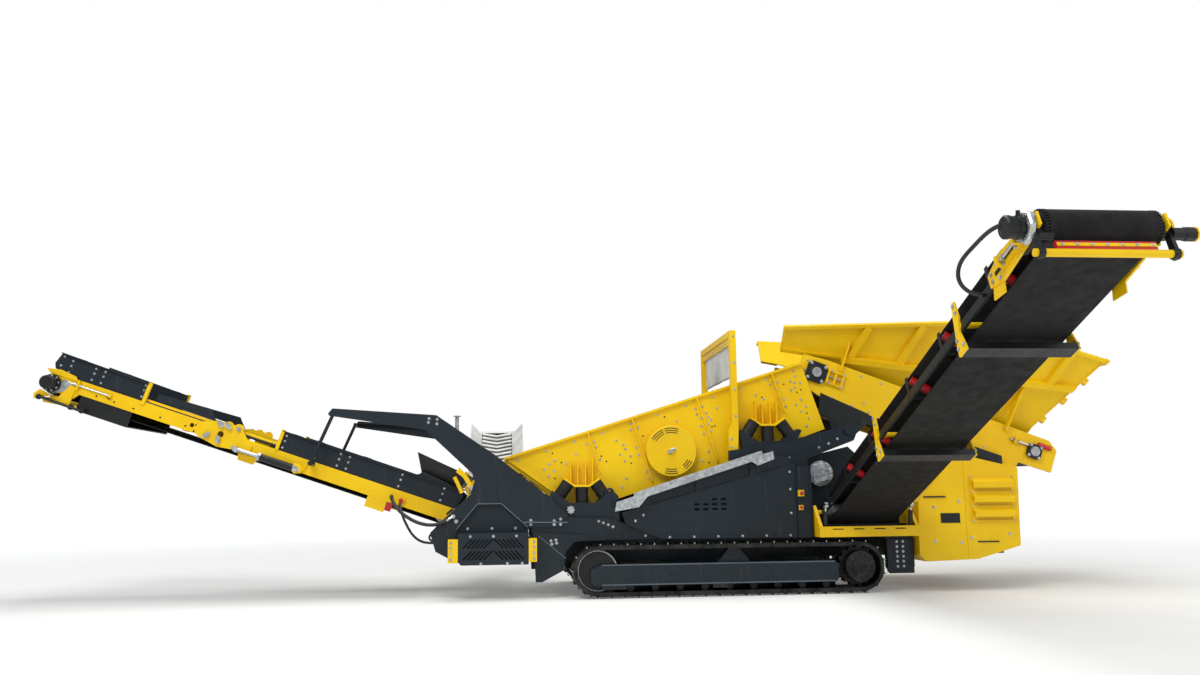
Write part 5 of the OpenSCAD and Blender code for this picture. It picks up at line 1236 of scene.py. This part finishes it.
def on_chain(s, lift):
    """A place at a length s along the chain and a height over its pitch line, with the outward direction there."""
    parts = [s < CHAIN_RUN, s < CHAIN_RUN + HALF_TURN, s < 2 * CHAIN_RUN + HALF_TURN]
    x = np.select(parts, [IDLER_X + s, SPROCKET_X, SPROCKET_X - (s - CHAIN_RUN - HALF_TURN)], IDLER_X)
    a = np.select(parts, [np.pi / 2, np.pi / 2 - (s - CHAIN_RUN) / CHAIN_R, -np.pi / 2],
                  -np.pi / 2 - (s - 2 * CHAIN_RUN - HALF_TURN) / CHAIN_R)
    out = np.stack([np.cos(a), 0 * a, np.sin(a)], -1)
    return np.stack([x, 0 * s, AXLE_Z + 0 * s], -1) + out * (CHAIN_R + lift), out


middle, out = on_chain((np.arange(SHOES) + 0.5) * STEP, 0.004)
ahead = np.cross(out, ACROSS)
bolt = turned([(0.014, -0.004), (0.014, 0.006), (0.010, 0.009)], sides=6)
caps = []
for side in (-1, 1):
    for y in (0.97, 1.19):
        for d in (-0.04, 0.04):
            at = spot(middle + ahead * d + side * y * ACROSS)
            caps += [copies(bolt, [at[k]], out[k], along=ACROSS) for k in range(SHOES)]
put("shoe_bolts", *joined(caps), TREAD, "plant", slot="track_steel")
print("shoe bolts", len(caps))

# %% [markdown]
# ## Track frames, sprockets and idlers
# The sprocket is bolted to its drive in two circles, and the folded edges of the track frame catch the light,
# painted as pale strips of highlight. The idler shows a bright rim, where the chain polishes it, round a dark
# face; both are taken from the size of the solid wheel.

# %% Sprocket bolts, frame edges and idler faces
links, rims, discs, lines = [], [], [], []
wheel_r = float(spot([IDLER_X, 0, 0])[0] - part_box("track_wheels")[0][0])
for s, axis in NEAR_FAR:
    for r, count, half, head in ((0.15, 12, 1.28, hexbolt(0.016, 0.014)), (0.075, 8, 1.295, hexbolt(0.011, 0.010))):
        links.append(copies(head, spot(at_width(circle((SPROCKET_X, AXLE_Z), r, count), s * half)), axis))
    # Pale strips of painted highlight on the folded edges of the track frame.
    lines += [plate([(1.18, z), (4.12, z), (4.12, z + 0.014), (1.18, z + 0.014)], s * 1.2595, s * 1.272, spot)
              for z in (0.155, 0.392)]
    hub = spot([IDLER_X, s * 1.2, AXLE_Z])
    rims.append(turned([(0.985 * wheel_r, -0.01), (0.985 * wheel_r, 0.004), (0.95 * wheel_r, 0.006)], hub, axis, 48))
    discs.append(turned([(0.93 * wheel_r, 0.0), (0.93 * wheel_r, 0.009), (0.9 * wheel_r, 0.012)], hub, axis, 48))
put("sprocket_bolts", *joined(links), TREAD, "plant", slot="track_steel")
put("track_beam_edge_highlights", *joined(lines), EDGE_HIGHLIGHT, "plant", slot="anthracite")
put("idler_rims", *joined(rims), STEEL, "plant", slot="steel")
put("idler_discs", *joined(discs), CAST, "plant", slot="dark_metal")
print("idler radius", round(wheel_r, 3))

# %% [markdown]
# ## Ends of the shoe bars
# Each shoe has a bar that bites the ground, and its sawn end shines on the outer side of the track. The bars lie at
# one place in every step of the chain, counted along the lower run, so the path is taken upside down. A plain guard
# closes the inner side of each track.

# %% Bar ends and inner guards
centre, under = np.array([0, 0, AXLE_Z]), np.array([1.0, 1.0, -1.0])
bar_at, bar_out = on_chain((np.arange(SHOES) + 0.09) * STEP, 0.0)
bar_at, bar_out = (bar_at - centre) * under + centre, bar_out * under
bar_ahead = np.cross(bar_out, ACROSS)
bar = np.array([[-0.006, 0.004], [0.006, 0.004], [0.005, 0.0225], [-0.005, 0.0225]])
ends = bar_at[:, None] + bar[:, :1] * bar_ahead[:, None] + bar[:, 1:] * bar_out[:, None]
ticks = [plate(end[:, [0, 2]], side * 1.2985, side * 1.3012, spot) for side in (-1, 1) for end in ends]
put("bar_ends", *joined(ticks), STEEL, "plant", slot="track_steel")
inner = slabs((1.36, 0.879, 0.064), (4.24, 0.8902, 0.20), spot)
put("track_inner_guards", *joined(inner), DARK, "plant", slot="anthracite")
print("bar ends", len(ticks))

# %% [markdown]
# ## Side panel, walkway and stops
# The post beside the conveyor carries a yellow stop box with a red button and a switch. The walkway edge is bolted
# on with bright bolts, and the sloping beam behind it shows a row of its own.

# %% Panel fittings
boxes, buttons, edges = [], [], []
for s, axis in NEAR_FAR:
    boxes.append(slab((3.705, s * 1.169, 1.208), (3.78, s * 1.215, 1.288), spot))
    boxes.append(slab((3.712, s * 1.169, 1.036), (3.768, s * 1.20, 1.098), spot))
    buttons.append(turned([(0.012, 0), (0.012, 0.012), (0.026, 0.016), (0.026, 0.026), (0.018, 0.032)],
                          spot([3.743, s * 1.214, 1.248]), axis, 20))
    buttons.append(turned([(0.02, 0), (0.02, 0.014), (0.012, 0.018)], spot([3.74, s * 1.199, 1.067]), axis, 16))
    edges += [plate([(a, 0.70), (b, 0.70), (b, 1.58), (a, 1.58)], s * 1.169, s * 1.182, spot)
              for a, b in ((3.70, 3.715), (3.872, 3.89))]
put("stop_boxes", *joined(boxes), YELLOW, "plant", slot="yellow")
put("stop_buttons", *joined(buttons), RED, "plant", slot="red")
put("post_edges", *joined(edges), DARK, "plant", slot="anthracite")
panel_bolts = [(x, 0.722) for x in line(2.05, 3.6, 6)]
panel_bolts += [(1.62, 0.93), (1.72, 1.0), (3.62, 1.0), (3.62, 1.3), (3.62, 1.52)]
bolt_rows("panel_bolts", spot, panel_bolts, 1.15, "plant", ZINC, r=0.012, h=0.010)
walk_bolts = [(x, 1.245 + (x - 1.60) * 0.3129) for x in line(1.72, 3.12, 8)]
walk_bolts += [(1.42, 1.10), (1.50, 1.13), (1.60, 1.16), (3.28, 1.72), (3.33, 1.74)]
bolt_rows("walk_bolts", spot, walk_bolts, 1.28, "plant", STEEL, r=0.011, h=0.010)
beam_bolts = [(x, 1.66 + (x - 3.0) * 0.06) for x in line(3.0, 3.65, 4)] + [(3.78, z) for z in (0.9, 1.2, 1.5)]
beam_bolts += [(4.05, 1.83), (4.18, 1.88), (4.30, 1.94)]
bolt_rows("slope_beam_bolts", spot, beam_bolts, 1.06, "plant", ZINC, r=0.013, h=0.012)
print("panel bolts", 2 * (len(panel_bolts) + len(walk_bolts) + len(beam_bolts)))

# %% [markdown]
# ## Motor behind the side conveyor
# Between the panel and the side conveyor the end of a motor shows: a silver bell with a bolt circle on the chute's
# cheek. The bell is a turned profile with a domed face.

# %% Motor end
MOTOR = np.array([4.09, 1.50])
BELL = [(0.13, 0), (0.13, 0.07), (0.165, 0.072), (0.165, 0.095), (0.15, 0.105), (0.10, 0.13), (0.05, 0.135)]
bells = [turned(BELL, spot(at_width([MOTOR], s * 0.86)[0]), axis, 36) for s, axis in NEAR_FAR]
rims = both_sides(hexbolt(0.011, 0.014), circle(MOTOR, 0.148, 10), 0.96, spot)
covers = plates(MOTOR + [(-0.10, -0.12), (0.12, -0.08), (0.09, 0.13), (-0.13, 0.10)], 0.96, 1.005, spot)
put("motor_bells", *joined(bells + covers), ZINC, "plant", slot="galvanised")
put("motor_bell_bolts", *rims, STEEL, "plant", slot="steel")
rear_bolts = [(x, z) for x in (4.99, 5.07) for z in line(0.31, 0.62, 6)]
bolt_rows("rear_plate_bolts", spot, rear_bolts, 1.13, "plant", ZINC, r=0.013, h=0.012)
print("motor bells", len(bells), "rear bolts", 2 * len(rear_bolts))
